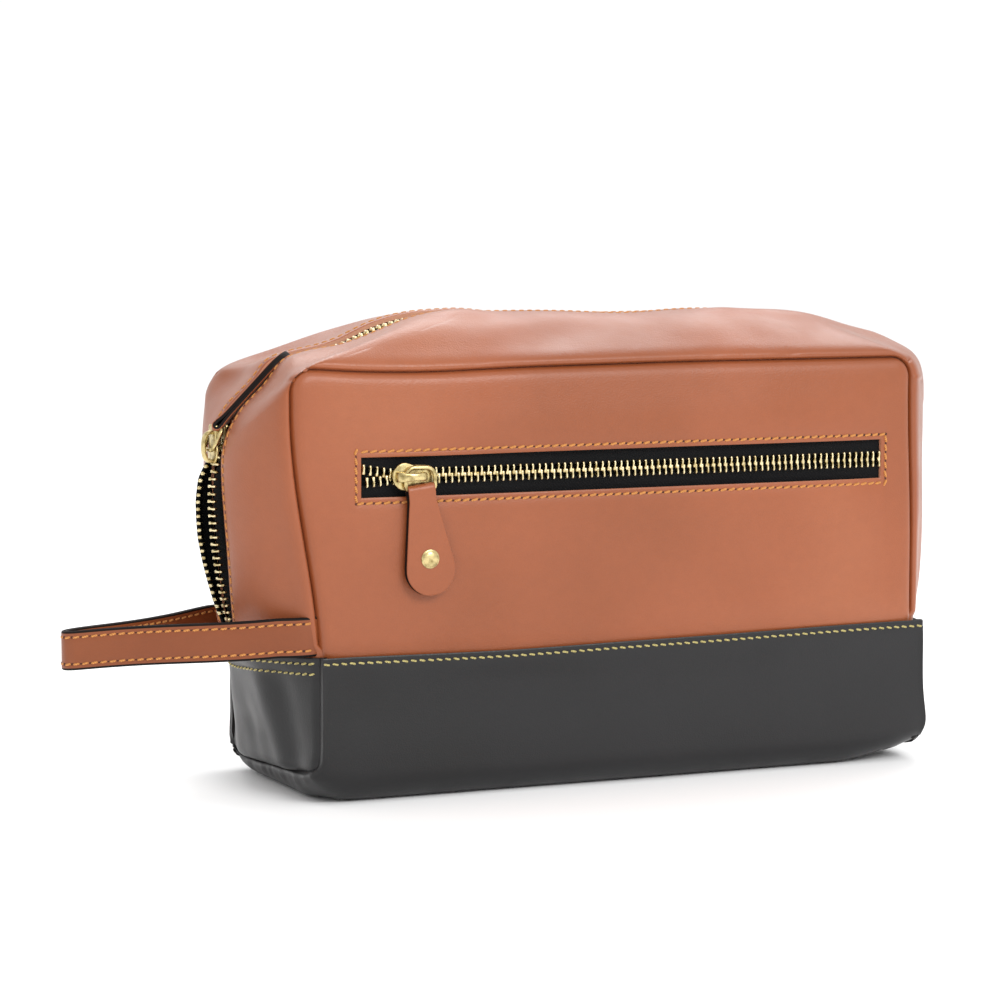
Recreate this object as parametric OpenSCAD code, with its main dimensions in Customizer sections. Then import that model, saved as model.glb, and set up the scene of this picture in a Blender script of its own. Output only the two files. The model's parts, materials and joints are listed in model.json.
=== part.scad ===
// Shaving kit bag: boxy leather bag with a black lower part, a tan upper part, a main zip that runs
// up the left end, over the top and down the right end, a zipped front pocket and a wrist strap.
// Frame: origin at the centre of the base on the floor, X along the length (strap end at -X),
// Y to the back (pocket panel at -Y), Z up. All sizes in mm.

/* [Body] */
// Length between the two end seams
body_l = 258; // [240:1:280]
// Depth between the front and back seams
body_w = 92; // [84:1:104]
// Height of the top seams of the front and back panels
body_h = 164; // [156:1:176]
// Height of the black lower part
base_h = 57; // [50:1:60]
// Thickness of one leather wall
leather_t = 1.6; // [1.2:0.1:1.8]
// Radius along the bottom edges
base_r = 10; // [6:1:14]
// Radius of the panels' top corners
corner_r = 8; // [6:1:12]

/* [Gusset and main zip] */
// How far the zip line stands out past the end seams
end_bulge = 23; // [18:1:26]
// How far the zip line stands above the top seams
top_bulge = 21; // [16:1:24]
// Length of the sloping shoulder at the strap end
left_run = 107; // [90:1:110]
// Drop of the sloping shoulder at the strap end
left_drop = 45; // [40:1:50]
// Length of the round shoulder at the other end
right_run = 60; // [45:1:70]
// Drop of the round shoulder at the other end
right_drop = 50; // [40:1:60]
// Half width of the gap between the gusset's edges over the zip
lip_y = 7; // [6.5:0.5:9]
// Height at which the main zip starts on each end
zip_foot_z = 70; // [66:1:76]

/* [Pocket] */
// Centre of the pocket window along the length
window_x = 3.5; // [-5:0.5:8]
// Length of the pocket window
window_l = 225; // [210:1:230]
// Height of the pocket window
window_h = 15.5; // [14:0.5:18]
// Height of the pocket window's centre
window_z = 124; // [115:1:130]
// Position of the pocket slider's centre along the length
pocket_slider_x = -88; // [-95:1:95]

/* [Sliders and pulls] */
// Height of the main slider's centre
main_slider_z = 131.5; // [125:0.5:132]
// Length of a slider
slider_l = 14; // [12:1:14]
// Length of a leather pull tab
tab_l = 42; // [36:1:44]
// Width of a leather pull tab at its round end
tab_w = 20; // [16:1:20]
// Width of a leather pull tab at the ring
tab_neck_w = 10; // [8:0.5:10]

/* [Wrist strap] */
// Width of the strap
strap_w = 15; // [12:1:16]
// Distance from the end seam to the tip of the strap loop
strap_reach = 84; // [70:1:95]
// Height of the strap's centre at the bag
strap_z = 64.5; // [64:0.5:66]
// Angle that the strap droops
strap_droop = 5; // [0:1:8]

/* [Hidden] */
$fn = 48;

tan_leather = [0.74, 0.44, 0.30];
black_leather = [0.13, 0.12, 0.13];
brass = [0.72, 0.62, 0.36];
black_tape = [0.05, 0.05, 0.06];
black_cloth = [0.10, 0.10, 0.11];
board_grey = [0.45, 0.43, 0.40];

half_l = body_l / 2;
half_w = body_w / 2;
// gap between the black base and everything that swings open above it
joint_gap = 0.6;
upper_z = base_h + joint_gap;
gusset_z = zip_foot_z + joint_gap;
ridge_x = half_l + end_bulge;
ridge_z = body_h + top_bulge;
// exponents of the shoulders: 2 is an ellipse, less is closer to a straight chamfer
left_n = 1.42;
right_n = 2;

// zip: tape and chain, counted inwards from the leather's outer face
tape_in = 2.5;
tape_t = 0.7;
chain_in = 1.55;
chain_t = 2.6;
row_gap = 0.6;
row_w = 2.5;
tape_y = 11.5;

// slider plates, and their gap to the chain
plate_t = 1.2;
plate_gap = 0.25;
plate_w = 9.6;
wedge_t = 0.7;
bridge_w = 2;
bridge_foot = 1.6;
bridge_bar = 1.2;
ring_wire = 1.5;
ring_w = 13.4;
tab_t = 3;
rivet_r = 3.4;

lining_t = 0.6;

function mix(a, b, t) = a + (b - a) * t;

// Path of the end-top-end strip in the XZ plane, as five stretches numbered 0 to 4.
// cut is how far inside the outer face the line runs, low is the height of its two ends.
function seam_point(k, t, cut, low) =
    let (l = half_l - cut, h = body_h - cut, r = corner_r - cut)
    k == 0 ? [-l, mix(low, h - r, t)] :
    k == 1 ? [-l + r - r * cos(90 * t), h - r + r * sin(90 * t)] :
    k == 2 ? [mix(-l + r, l - r, t), h] :
    k == 3 ? [l - r + r * sin(90 * t), h - r + r * cos(90 * t)] :
    [l, mix(h - r, low, t)];

function ridge_point(k, t, cut, low) =
    let (x = ridge_x - cut, z = ridge_z - cut)
    let (la = left_run - cut, lb = left_drop - cut)
    let (ra = right_run - cut, rb = right_drop - cut)
    k == 0 ? [-x, mix(low, z - lb, t)] :
    k == 1 ? [-x + la - la * pow(cos(90 * t), 2 / left_n), z - lb + lb * pow(sin(90 * t), 2 / left_n)] :
    k == 2 ? [mix(-x + la, x - ra, t), z] :
    k == 3 ? [x - ra + ra * pow(sin(90 * t), 2 / right_n), z - rb + rb * pow(cos(90 * t), 2 / right_n)] :
    [x, mix(z - rb, low, t)];

// stretches and steps of the strip: straight runs take few steps, shoulders take more
steps = [3, 12, 4, 10, 3];
path = [for (k = [0:4]) for (i = [0:steps[k] - 1]) [k, i / steps[k]], [4, 1]];

function ridge_line(cut, low) = [for (p = path) ridge_point(p[0], p[1], cut, low)];

// share of the way from the seam line to the ridge line, at a share u across the strip
function puff(u) = sin(90 * u);

// one row across the front strip, from the seam to the edge beside the zip
cross_steps = 7;
function strip_row(k, t, cut, low) =
    [for (j = [0:cross_steps])
        let (u = j / cross_steps)
        let (a = seam_point(k, t, cut, low), b = ridge_point(k, t, cut, low))
        let (q = mix(a, b, puff(u)))
        [q[0], mix(-half_w, -lip_y, u), q[1]]];

// Closed skin between two grids of points. Seen from outside, the outer grid's rows run left to
// right and its columns run upwards.
module skin(outer, inner) {
    rows = len(outer);
    cols = len(outer[0]);
    count = rows * cols;
    function at(i, j) = i * cols + j;
    points = concat([for (r = outer) for (p = r) p], [for (r = inner) for (p = r) p]);
    faces = concat(
        [for (i = [0:rows - 2]) for (j = [0:cols - 2]) each [
            [at(i, j), at(i, j + 1), at(i + 1, j + 1)],
            [at(i, j), at(i + 1, j + 1), at(i + 1, j)],
            [count + at(i, j), count + at(i + 1, j + 1), count + at(i, j + 1)],
            [count + at(i, j), count + at(i + 1, j), count + at(i + 1, j + 1)]]],
        [for (i = [0:rows - 2]) each [
            [at(i, 0), at(i + 1, 0), count + at(i + 1, 0)],
            [at(i, 0), count + at(i + 1, 0), count + at(i, 0)],
            [at(i + 1, cols - 1), at(i, cols - 1), count + at(i, cols - 1)],
            [at(i + 1, cols - 1), count + at(i, cols - 1), count + at(i + 1, cols - 1)]]],
        [for (j = [0:cols - 2]) each [
            [at(0, j + 1), at(0, j), count + at(0, j)],
            [at(0, j + 1), count + at(0, j), count + at(0, j + 1)],
            [at(rows - 1, j), at(rows - 1, j + 1), count + at(rows - 1, j + 1)],
            [at(rows - 1, j), count + at(rows - 1, j + 1), count + at(rows - 1, j)]]]);
    polyhedron(points, faces);
}

// band along the zip line, between two depths and two y values
module ridge_band(cut_a, cut_b, y_a, y_b, low) {
    outline = concat(ridge_line(cut_a, low), [for (p = ridge_line(cut_b, low)) p]);
    n = len(path);
    ring = concat([for (i = [0:n - 1]) outline[i]], [for (i = [n - 1:-1:0]) outline[n + i]]);
    translate([0, y_b, 0])
        rotate([90, 0, 0])
            linear_extrude(y_b - y_a)
                polygon(ring);
}

// half a rounded rectangle's outline: square below, round at the two top corners
module arch_plate(l, z_low, z_high, r) {
    translate([-l, z_low]) square([2 * l, z_high - r - z_low]);
    translate([-l + r, z_low]) square([2 * (l - r), z_high - z_low]);
    for (s = [-1, 1])
        translate([s * (l - r), z_high - r]) circle(r);
}

// upright plate in the XZ plane, from y_a to y_b
module upright(y_a, y_b) {
    translate([0, y_b, 0])
        rotate([90, 0, 0])
            linear_extrude(y_b - y_a)
                children();
}

// cross-section of the base: flat bottom, round lower edges, open at the top
module tray_outline(half, low, high, r) {
    translate([-half, low + r]) square([2 * half, high - low - r]);
    translate([-half + r, low]) square([2 * (half - r), high - low]);
    for (s = [-1, 1])
        translate([s * (half - r), low + r]) circle(r);
}

// ---- black base -------------------------------------------------------------------------------

module base_wrap() {
    color(black_leather)
        rotate([90, 0, 90])
            translate([0, 0, -half_l])
                linear_extrude(body_l)
                    difference() {
                        tray_outline(half_w + leather_t, 0, base_h, base_r);
                        tray_outline(half_w, leather_t, base_h + 1, base_r - leather_t);
                    }
}

// height of the wrap's lower edge at a distance y from the middle
function wrap_low(y, half, r) =
    abs(y) < half - r ? 0 : r - sqrt(max(0, r * r - pow(abs(y) - (half - r), 2)));

// how far an end stands out past its seam, at a share u of its height and a place y across it
function end_out(u, y) = mix(2, end_bulge, pow(u, 0.7)) * puff(min(1, (half_w - abs(y)) / (half_w - lip_y)));

end_cols = 14;
end_rows = 6;
module end_base() {
    y_out = half_w + leather_t;
    function row(i, add) = [for (j = [0:end_cols])
        let (y = mix(y_out, -y_out, j / end_cols))
        let (z = mix(wrap_low(y, y_out, base_r), base_h, i / end_rows))
        let (yc = min(half_w, abs(y)))
        [-(half_l + end_out(z / base_h, yc) + add), y, z]];
    skin([for (i = [end_rows:-1:0]) row(i, leather_t)], [for (i = [end_rows:-1:0]) row(i, 0)]);
}

module left_end_base() {
    color(black_leather) end_base();
}

module right_end_base() {
    color(black_leather) mirror([1, 0, 0]) end_base();
}

module base_board() {
    board_l = body_l - 10;
    board_w = body_w - 20;
    color(board_grey)
        translate([-board_l / 2, -board_w / 2, leather_t + 0.2])
            cube([board_l, board_w, 1.6]);
}

module base_lining() {
    side = 0.8;
    low = leather_t + 2.2;
    color(black_cloth)
        rotate([90, 0, 90])
            translate([0, 0, -half_l + side])
                linear_extrude(body_l - 2 * side)
                    difference() {
                        tray_outline(half_w - side, low, base_h - 1, base_r - 4);
                        tray_outline(half_w - side - lining_t, low + lining_t, base_h, base_r - 4);
                    }
}

// ---- tan feet of the gusset, under the zip's ends ----------------------------------------------

module gusset_foot() {
    foot_rows = 2;
    function row(i, cut) = [for (j = [0:2 * cross_steps])
        let (y = mix(half_w, -half_w, j / (2 * cross_steps)))
        let (z = mix(upper_z - joint_gap, zip_foot_z, i / foot_rows))
        [-(half_l - cut + end_bulge * puff(min(1, (half_w - abs(y)) / (half_w - lip_y)))), y, z]];
    skin([for (i = [foot_rows:-1:0]) row(i, 0)], [for (i = [foot_rows:-1:0]) row(i, leather_t)]);
}

module left_gusset_foot() {
    color(tan_leather) gusset_foot();
}

module right_gusset_foot() {
    color(tan_leather) mirror([1, 0, 0]) gusset_foot();
}

stop_l = 3;
module left_zip_stops() {
    color(brass)
        for (s = [-1, 1])
            translate([-ridge_x - 0.9, s * 2 - 1.2, zip_foot_z - stop_l - 1])
                cube([0.9, 2.4, stop_l]);
}

module right_zip_stop() {
    color(brass)
        translate([ridge_x, -3, zip_foot_z - stop_l - 1])
            cube([0.9, 6, stop_l]);
}

// ---- front half ---------------------------------------------------------------------------------

module panel_outline(grow) {
    arch_plate(half_l - grow, upper_z + grow, body_h - grow, corner_r - grow);
}

module front_panel() {
    color(tan_leather)
        upright(-half_w - leather_t, -half_w)
            difference() {
                panel_outline(0);
                translate([window_x - window_l / 2, window_z - window_h / 2])
                    square([window_l, window_h]);
            }
}

module half_gusset() {
    skin(
        [for (p = path) strip_row(p[0], p[1], 0, gusset_z)],
        [for (p = path) strip_row(p[0], p[1], leather_t, gusset_z)]);
}

module front_gusset() {
    color(tan_leather) half_gusset();
}

lining_in = 5.9;
module front_lining() {
    color(black_cloth)
        upright(-half_w + lining_in, -half_w + lining_in + lining_t)
            panel_outline(4);
}

// binding that covers the raw edges of one long seam, just inside the gusset
binding_in = 2.8;
module binding(y_a, y_b) {
    upright(y_a, y_b)
        difference() {
            arch_plate(half_l - binding_in, gusset_z + 2, body_h - binding_in, corner_r - binding_in);
            arch_plate(half_l - binding_in - 1.2, upper_z, body_h - binding_in - 1.2, corner_r - binding_in - 1.2);
        }
}

module front_binding() {
    color(black_cloth) binding(-half_w + 0.3, -half_w + 4.6);
}

bag_in = 3.4;
bag_t = 2.2;
bag_low = 66;
bag_top = window_z + window_h / 2 + 6;
module pocket_bag() {
    bag_l = window_l + 10;
    bag_wall = 0.6;
    color(black_cloth)
        translate([window_x - bag_l / 2, -half_w + bag_in, bag_low])
            difference() {
                cube([bag_l, bag_t, bag_top - bag_low]);
                translate([bag_wall, bag_wall, bag_wall])
                    cube([bag_l - 2 * bag_wall, bag_t - 2 * bag_wall, bag_top - bag_low - 2 * bag_wall]);
            }
}

module main_tape_front() {
    color(black_tape)
        ridge_band(tape_in, tape_in + tape_t, -tape_y, -row_gap - row_w, gusset_z);
}

module main_teeth_front() {
    color(brass)
        ridge_band(chain_in, chain_in + chain_t, -row_gap - row_w, -row_gap, gusset_z);
}

// ---- back half ----------------------------------------------------------------------------------

module back_panel() {
    color(tan_leather)
        upright(half_w, half_w + leather_t)
            panel_outline(0);
}

module back_gusset() {
    color(tan_leather) mirror([0, 1, 0]) half_gusset();
}

module back_lining() {
    color(black_cloth)
        upright(half_w - 1.4, half_w - 1.4 + lining_t)
            panel_outline(4);
}

module back_binding() {
    color(black_cloth) binding(half_w - 5.2, half_w - 1.6);
}

module main_tape_back() {
    color(black_tape) mirror([0, 1, 0])
        ridge_band(tape_in, tape_in + tape_t, -tape_y, -row_gap - row_w, gusset_z);
}

module main_teeth_back() {
    color(brass) mirror([0, 1, 0])
        ridge_band(chain_in, chain_in + chain_t, -row_gap - row_w, -row_gap, gusset_z);
}

// ---- pocket zip ---------------------------------------------------------------------------------

// middle plane of the pocket chain
pocket_chain_y = -half_w - 0.4;
pocket_tape_y = -half_w + 0.1;
pocket_zip_l = window_l + 6;

module pocket_tape(s) {
    inner = row_gap + row_w;
    color(black_tape)
        translate([window_x, pocket_tape_y + tape_t / 2, window_z + s * (inner + tape_y) / 2])
            cube([pocket_zip_l, tape_t, tape_y - inner], center = true);
}

module pocket_tape_upper() {
    pocket_tape(1);
}

module pocket_tape_lower() {
    pocket_tape(-1);
}

module pocket_row(s) {
    color(brass)
        translate([window_x, pocket_chain_y, window_z + s * (row_gap + row_w / 2)])
            cube([window_l - 2 * (stop_l + 1.5), chain_t, row_w], center = true);
}

module pocket_teeth_upper() {
    pocket_row(1);
}

module pocket_teeth_lower() {
    pocket_row(-1);
}

module pocket_stops_left() {
    color(brass)
        for (s = [-1, 1])
            translate([window_x - window_l / 2 + 0.6, pocket_chain_y - chain_t / 2, window_z + s * 1.9 - 1.1])
                cube([stop_l, chain_t, 2.2]);
}

module pocket_stop_right() {
    color(brass)
        translate([window_x + window_l / 2 - 0.6 - stop_l, pocket_chain_y - chain_t / 2, window_z - 3])
            cube([stop_l, chain_t, 6]);
}

// ---- sliders and pulls --------------------------------------------------------------------------

// A slider lies with its travel along X and its outer face up (+Z), centred on the chain.
plate_low = chain_t / 2 + plate_gap;
module slider_plate() {
    nose = slider_l * 0.62;
    intersection() {
        translate([-slider_l / 2, -plate_w / 2]) square([slider_l, plate_w]);
        union() {
            translate([-slider_l / 2 + plate_w / 2 + 0.2, 0]) circle(plate_w / 2);
            translate([-slider_l / 2 + plate_w / 2, -plate_w / 2 + 1.2]) square([nose, plate_w - 2.4]);
        }
    }
}

module slider_body() {
    for (z = [plate_low, -plate_low - plate_t])
        translate([0, 0, z])
            linear_extrude(plate_t) slider_plate();
    translate([-slider_l / 2 + 0.8, -wedge_t / 2, -plate_low - plate_t / 2])
        cube([4, wedge_t, 2 * plate_low + plate_t]);
}

// Arch along the slider's outer plate, which holds the ring. The eye is the gap under its bar.
plate_top = plate_low + plate_t;
eye_half = 2.8;
eye_low = plate_top + 0.3;
eye_top = plate_top + 3.05;
// height of the ring's wire in the eye, above the middle of the chain
ring_seat = plate_top + 1.65;
module slider_bridge() {
    translate([0, bridge_w / 2, 0])
        rotate([90, 0, 0])
            linear_extrude(bridge_w)
                difference() {
                    union() {
                        translate([-eye_half - bridge_foot, plate_top])
                            square([2 * (eye_half + bridge_foot), eye_top + 0.4 - plate_top]);
                        translate([-eye_half, plate_top])
                            square([2 * eye_half, eye_top + bridge_bar - plate_top]);
                        for (s = [-1, 1])
                            translate([s * eye_half, eye_top + 0.4]) circle(bridge_bar - 0.4);
                    }
                    translate([-eye_half, eye_low]) square([2 * eye_half, eye_top - eye_low]);
                }
}

// Rectangular wire ring in the XY plane, between two heights, with its lower bar for the tab.
module pull_ring(low, high) {
    legs_x = ring_w / 2 - ring_wire / 2;
    for (s = [-1, 1])
        translate([s * legs_x, high, 0])
            rotate([90, 0, 0])
                cylinder(h = high - low, d = ring_wire);
    for (y = [low, high])
        translate([-legs_x, y, 0])
            rotate([0, 90, 0])
                cylinder(h = 2 * legs_x, d = ring_wire);
    for (s = [-1, 1])
        for (y = [low, high])
            translate([s * legs_x, y, 0])
                sphere(d = ring_wire);
}

// Tab in the XY plane, hanging along -Y from the bar at the origin: a folded strip with a round end.
tab_eye = 1.1;
module tab_outline() {
    round_y = -tab_l + tab_w / 2 + tab_t / 2;
    hull() {
        translate([-tab_neck_w / 2, -6]) square([tab_neck_w, 1]);
        translate([0, round_y]) circle(tab_w / 2);
    }
}

module pull_tab() {
    difference() {
        union() {
            translate([0, 0, -tab_t / 2])
                linear_extrude(tab_t) tab_outline();
            translate([-tab_neck_w / 2, -6, -tab_t / 2])
                cube([tab_neck_w, 6, tab_t]);
            translate([-tab_neck_w / 2, 0, 0])
                rotate([0, 90, 0])
                    cylinder(h = tab_neck_w, d = tab_t + 0.6);
        }
        translate([-tab_neck_w, 0, 0])
            rotate([0, 90, 0])
                cylinder(h = 2 * tab_neck_w, r = tab_eye);
        translate([0, rivet_y(), -tab_t])
            cylinder(h = 2 * tab_t, r = 1.4);
    }
}

function rivet_y() = -tab_l + tab_w / 2 + 4;

module pull_rivet() {
    translate([0, rivet_y(), -tab_t / 2 - 0.15])
        cylinder(h = tab_t + 0.3, r = 1.3);
    translate([0, rivet_y(), tab_t / 2 + 0.05])
        intersection() {
            translate([0, 0, -5.2]) sphere(r = 6.2);
            cylinder(h = 2, r = rivet_r);
        }
    translate([0, rivet_y(), -tab_t / 2 - 0.25])
        cylinder(h = 0.2, r = rivet_r - 0.6);
}

// main slider: travel down the strap end, outer face towards -X
module at_main_slider() {
    translate([-ridge_x + chain_in + chain_t / 2, 0, main_slider_z])
        rotate([0, -90, 0])
            children();
}

module main_slider_body() {
    color(brass) at_main_slider() slider_body();
}

module main_slider_bridge() {
    color(brass) at_main_slider() slider_bridge();
}

// the ring's upper bar sits in the eye, and the lower bar stands above it
main_ring_l = 9;
main_pivot = [-ridge_x + chain_in + chain_t / 2 - ring_seat, 0, main_slider_z + 1.2];
module main_pull_ring() {
    color(brass)
        translate(main_pivot)
            rotate([0, -90, 0])
                rotate([0, 0, 90])
                    pull_ring(-main_ring_l, 0);
}

// the tab leans over the shoulder of the bag
main_tab_angle = 48;
main_bar = main_pivot + [0, 0, main_ring_l];
module at_main_tab() {
    translate(main_bar)
        rotate([0, -main_tab_angle, 0])
            rotate([0, 0, 90])
                children();
}

module main_pull_tab() {
    color(tan_leather) at_main_tab() pull_tab();
}

module main_pull_rivet() {
    color(brass) at_main_tab() pull_rivet();
}

// pocket slider: travel along X, outer face towards -Y
module at_pocket_slider() {
    translate([pocket_slider_x, pocket_chain_y, window_z])
        rotate([90, 0, 0])
            children();
}

module pocket_slider_body() {
    color(brass) at_pocket_slider() slider_body();
}

module pocket_slider_bridge() {
    color(brass) at_pocket_slider() slider_bridge();
}

// One leg of the ring hangs through the eye, so the ring hangs to the right of the bridge.
pocket_ring_low = -5.2;
pocket_ring_high = 3.4;
pocket_ring_x = pocket_slider_x - 0.4 + ring_w / 2 - ring_wire / 2;
pocket_pivot = [pocket_ring_x, pocket_chain_y - ring_seat, window_z];
module pocket_pull_ring() {
    color(brass)
        translate(pocket_pivot)
            rotate([90, 0, 0])
                pull_ring(pocket_ring_low, pocket_ring_high);
}

pocket_bar = pocket_pivot + [0, 0, pocket_ring_low];
module at_pocket_tab() {
    translate(pocket_bar)
        rotate([90, 0, 0])
            children();
}

module pocket_pull_tab() {
    color(tan_leather) at_pocket_tab() pull_tab();
}

module pocket_pull_rivet() {
    color(brass) at_pocket_tab() pull_rivet();
}

// ---- wrist strap --------------------------------------------------------------------------------

// axis about which the strap swings, just outside the end seams
strap_axis = [-half_l - 11, 0, strap_z];
strap_t = 1.3;
strap_start = -half_l - 9.5;
// half width of the loop where it starts, and where it folds
strap_root_y = half_w - 4.2;
strap_tip_y = 2.2;

// one leg's outline in the XY plane, between two offsets from the loop's inner face
module strap_plan(a, b) {
    tip_x = -half_l - strap_reach + 3;
    difference() {
        polygon([
            [strap_start, strap_root_y + b], [tip_x, strap_tip_y + b],
            [tip_x - b, 0],
            [tip_x, -strap_tip_y - b], [strap_start, -strap_root_y - b]]);
        polygon([
            [strap_start + 1, strap_root_y + a + 0.52], [tip_x, strap_tip_y + a],
            [tip_x - a, 0],
            [tip_x, -strap_tip_y - a], [strap_start + 1, -strap_root_y - a - 0.52]]);
    }
}

module strap_layer(a, b) {
    translate(strap_axis)
        rotate([0, -strap_droop, 0])
            translate(-strap_axis)
                translate([0, 0, strap_z - strap_w / 2])
                    linear_extrude(strap_w)
                        strap_plan(a, b);
}

module strap_outer() {
    color(tan_leather) strap_layer(1.35, 2.65);
}

module strap_inner() {
    color(tan_leather) strap_layer(0, 1.3);
}

base_wrap();
left_end_base();
right_end_base();
base_board();
base_lining();
left_gusset_foot();
right_gusset_foot();
left_zip_stops();
right_zip_stop();
front_panel();
front_gusset();
front_lining();
front_binding();
pocket_bag();
main_tape_front();
main_teeth_front();
pocket_tape_upper();
pocket_tape_lower();
pocket_teeth_upper();
pocket_teeth_lower();
pocket_stops_left();
pocket_stop_right();
back_panel();
back_gusset();
back_lining();
back_binding();
main_tape_back();
main_teeth_back();
main_slider_body();
main_slider_bridge();
main_pull_ring();
main_pull_tab();
main_pull_rivet();
pocket_slider_body();
pocket_slider_bridge();
pocket_pull_ring();
pocket_pull_tab();
pocket_pull_rivet();
strap_outer();
strap_inner();
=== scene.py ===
"""Looks of the shaving kit bag: leather shells, zips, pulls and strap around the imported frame."""

import json
import math
import random

import bmesh
import bpy
import numpy as np
from mathutils import Matrix, Vector


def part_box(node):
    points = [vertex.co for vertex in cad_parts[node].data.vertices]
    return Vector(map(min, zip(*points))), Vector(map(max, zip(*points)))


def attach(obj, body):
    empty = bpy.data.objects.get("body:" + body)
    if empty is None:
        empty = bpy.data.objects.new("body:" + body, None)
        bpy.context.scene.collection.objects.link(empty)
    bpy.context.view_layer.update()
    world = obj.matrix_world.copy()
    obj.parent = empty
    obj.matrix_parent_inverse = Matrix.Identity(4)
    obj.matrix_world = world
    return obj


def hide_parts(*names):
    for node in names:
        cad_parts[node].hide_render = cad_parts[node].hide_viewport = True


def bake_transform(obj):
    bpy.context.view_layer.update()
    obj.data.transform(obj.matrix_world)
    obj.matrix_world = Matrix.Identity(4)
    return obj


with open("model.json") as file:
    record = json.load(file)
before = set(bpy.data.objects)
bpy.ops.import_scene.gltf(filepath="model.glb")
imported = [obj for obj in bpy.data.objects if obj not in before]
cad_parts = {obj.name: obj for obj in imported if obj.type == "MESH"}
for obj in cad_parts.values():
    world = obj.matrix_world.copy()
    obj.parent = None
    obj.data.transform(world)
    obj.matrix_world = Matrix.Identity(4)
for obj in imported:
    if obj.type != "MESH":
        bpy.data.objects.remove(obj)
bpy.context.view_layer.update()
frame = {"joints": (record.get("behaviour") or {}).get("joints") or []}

# Shapes are worked out in millimetres, in the frame's axes, and scaled when a mesh is made.
MM = 0.001

# ---- sizes that repeat the CAD, in millimetres -------------------------------------------------
HALF_W = 46.0
BODY_H = 164.4
BAND_Z = 57.0
SKIN = 1.6
LIP_Y = 7.0
CORNER_R = 8.0
CHAIN_IN = 1.55
CHAIN_T = 2.6
WINDOW = (-109.0, 116.0, 116.25, 131.75)
WINDOW_Z = 124.0
STRAP_AXIS = np.array([-140.0, 0.0, 64.5])


# ---- small maths ---------------------------------------------------------------------------------
def mix(a, b, t):
    return a + (b - a) * t


def smooth(a, b, x):
    t = np.clip((np.asarray(x, float) - a) / (b - a), 0, 1)
    return t * t * (3 - 2 * t)


def bump(x, centre, width):
    return np.exp(-(((np.asarray(x, float) - centre) / width) ** 2))


WAVE_COUNT = 7


def waves(x, y, seed, size):
    """Smooth, repeatable unevenness of about unit height; size is its wavelength."""
    rng = random.Random(seed)
    total = np.zeros(np.broadcast(x, y).shape)
    for _ in range(WAVE_COUNT):
        angle = rng.uniform(0, math.tau)
        length = size * rng.uniform(0.6, 1.7)
        phase = rng.uniform(0, math.tau)
        along = x * math.cos(angle) + y * math.sin(angle)
        total = total + np.sin(along * math.tau / length + phase)
    return total / math.sqrt(WAVE_COUNT)


def lines(start, stop, step, marks):
    """Sorted grid lines at about the given step, with extra ones where a mark asks for them.
    A mark is (place, offsets); the stretches between its lines are divided evenly."""
    fixed = sorted({round(m + o, 3) for m, offsets in marks for o in offsets
                    if start <= m + o <= stop} | {start, stop})
    out = []
    for a, b in zip(fixed, fixed[1:]):
        n = max(1, round((b - a) / step))
        out += [mix(a, b, i / n) for i in range(n)]
    return np.array(out + [stop])


def unit(v):
    return v / np.maximum(np.linalg.norm(v, axis=-1, keepdims=True), 1e-9)


def path_length(points):
    """Running length along a list of points."""
    p = np.asarray(points, float)
    return np.concatenate([[0], np.cumsum(np.linalg.norm(np.diff(p, axis=0), axis=1))])


# ---- outline of the bag --------------------------------------------------------------------------
def left_seam_x(z):
    """The left end seam leans outwards towards the top."""
    return -124.8 - 11.5 * smooth(48, 150, z)


def right_seam_x(z):
    return 130.5 + 1.6 * smooth(150, 90, z) + 1.5 * smooth(70, 20, z)


# The zip line seen from the front, as five stretches of (x, z): up the left end, over the left
# shoulder, along the top, over the right shoulder and down the right end.
RIDGE = (
    [(-140.2, 50), (-143.6, 57), (-145.8, 62), (-147.3, 68), (-148.6, 75), (-149.7, 83), (-150.6, 92),
     (-151.4, 101), (-152.0, 111), (-152.1, 121), (-151.3, 131), (-149.2, 138.2)],
    [(-147.2, 142.4), (-143.2, 148.3), (-138.9, 152.4), (-134.9, 155.9), (-131.2, 159.8), (-128.2, 163.8),
     (-124.2, 166.9), (-118, 169.3), (-112, 170.9), (-105.7, 172.2), (-97.8, 174.4), (-89.5, 177.2),
     (-81, 180.2), (-73.2, 182.8), (-64.3, 184.4), (-52, 185.1), (-45, 185.2)],
    [(-34, 185.1), (-8.3, 184.5), (20, 184.5), (50, 184.6), (75, 183.3), (92, 182.8)],
    [(99, 182.0), (107, 179.2), (116, 176.4), (126, 173.8), (136, 171.4), (143, 168.7), (148, 165.7),
     (151.6, 161.3), (153.8, 155.5), (154.9, 149), (155.2, 141)],
    [(154.9, 128), (153.6, 112), (152.4, 96), (151.6, 80), (150.7, 69), (149.0, 61.5), (147.2, 57),
     (143.9, 50)],
)


SPLINE_STEPS = 12


def spline(points):
    """Smooth curve through points (Catmull-Rom)."""
    p = np.asarray(points, float)
    p = np.vstack([2 * p[0] - p[1], p, 2 * p[-1] - p[-2]])
    out = []
    for i in range(1, len(p) - 2):
        a, b, c, d = p[i - 1:i + 3]
        for t in np.arange(SPLINE_STEPS) / SPLINE_STEPS:
            out.append(0.5 * (2 * b + (c - a) * t + (2 * a - 5 * b + 4 * c - d) * t * t
                              + (3 * b - a - 3 * c + d) * t ** 3))
    return np.array(out + [p[-2]])


RIDGE_LINE = spline(sum(RIDGE, []))
RIDGE_MARK = [0] + [SPLINE_STEPS * (sum(len(s) for s in RIDGE[:k + 1]) - 1) for k in range(5)]
RIDGE_RUN = path_length(RIDGE_LINE)
RIDGE_OUT = unit(np.gradient(RIDGE_LINE, axis=0)[:, ::-1] * [-1, 1])


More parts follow.
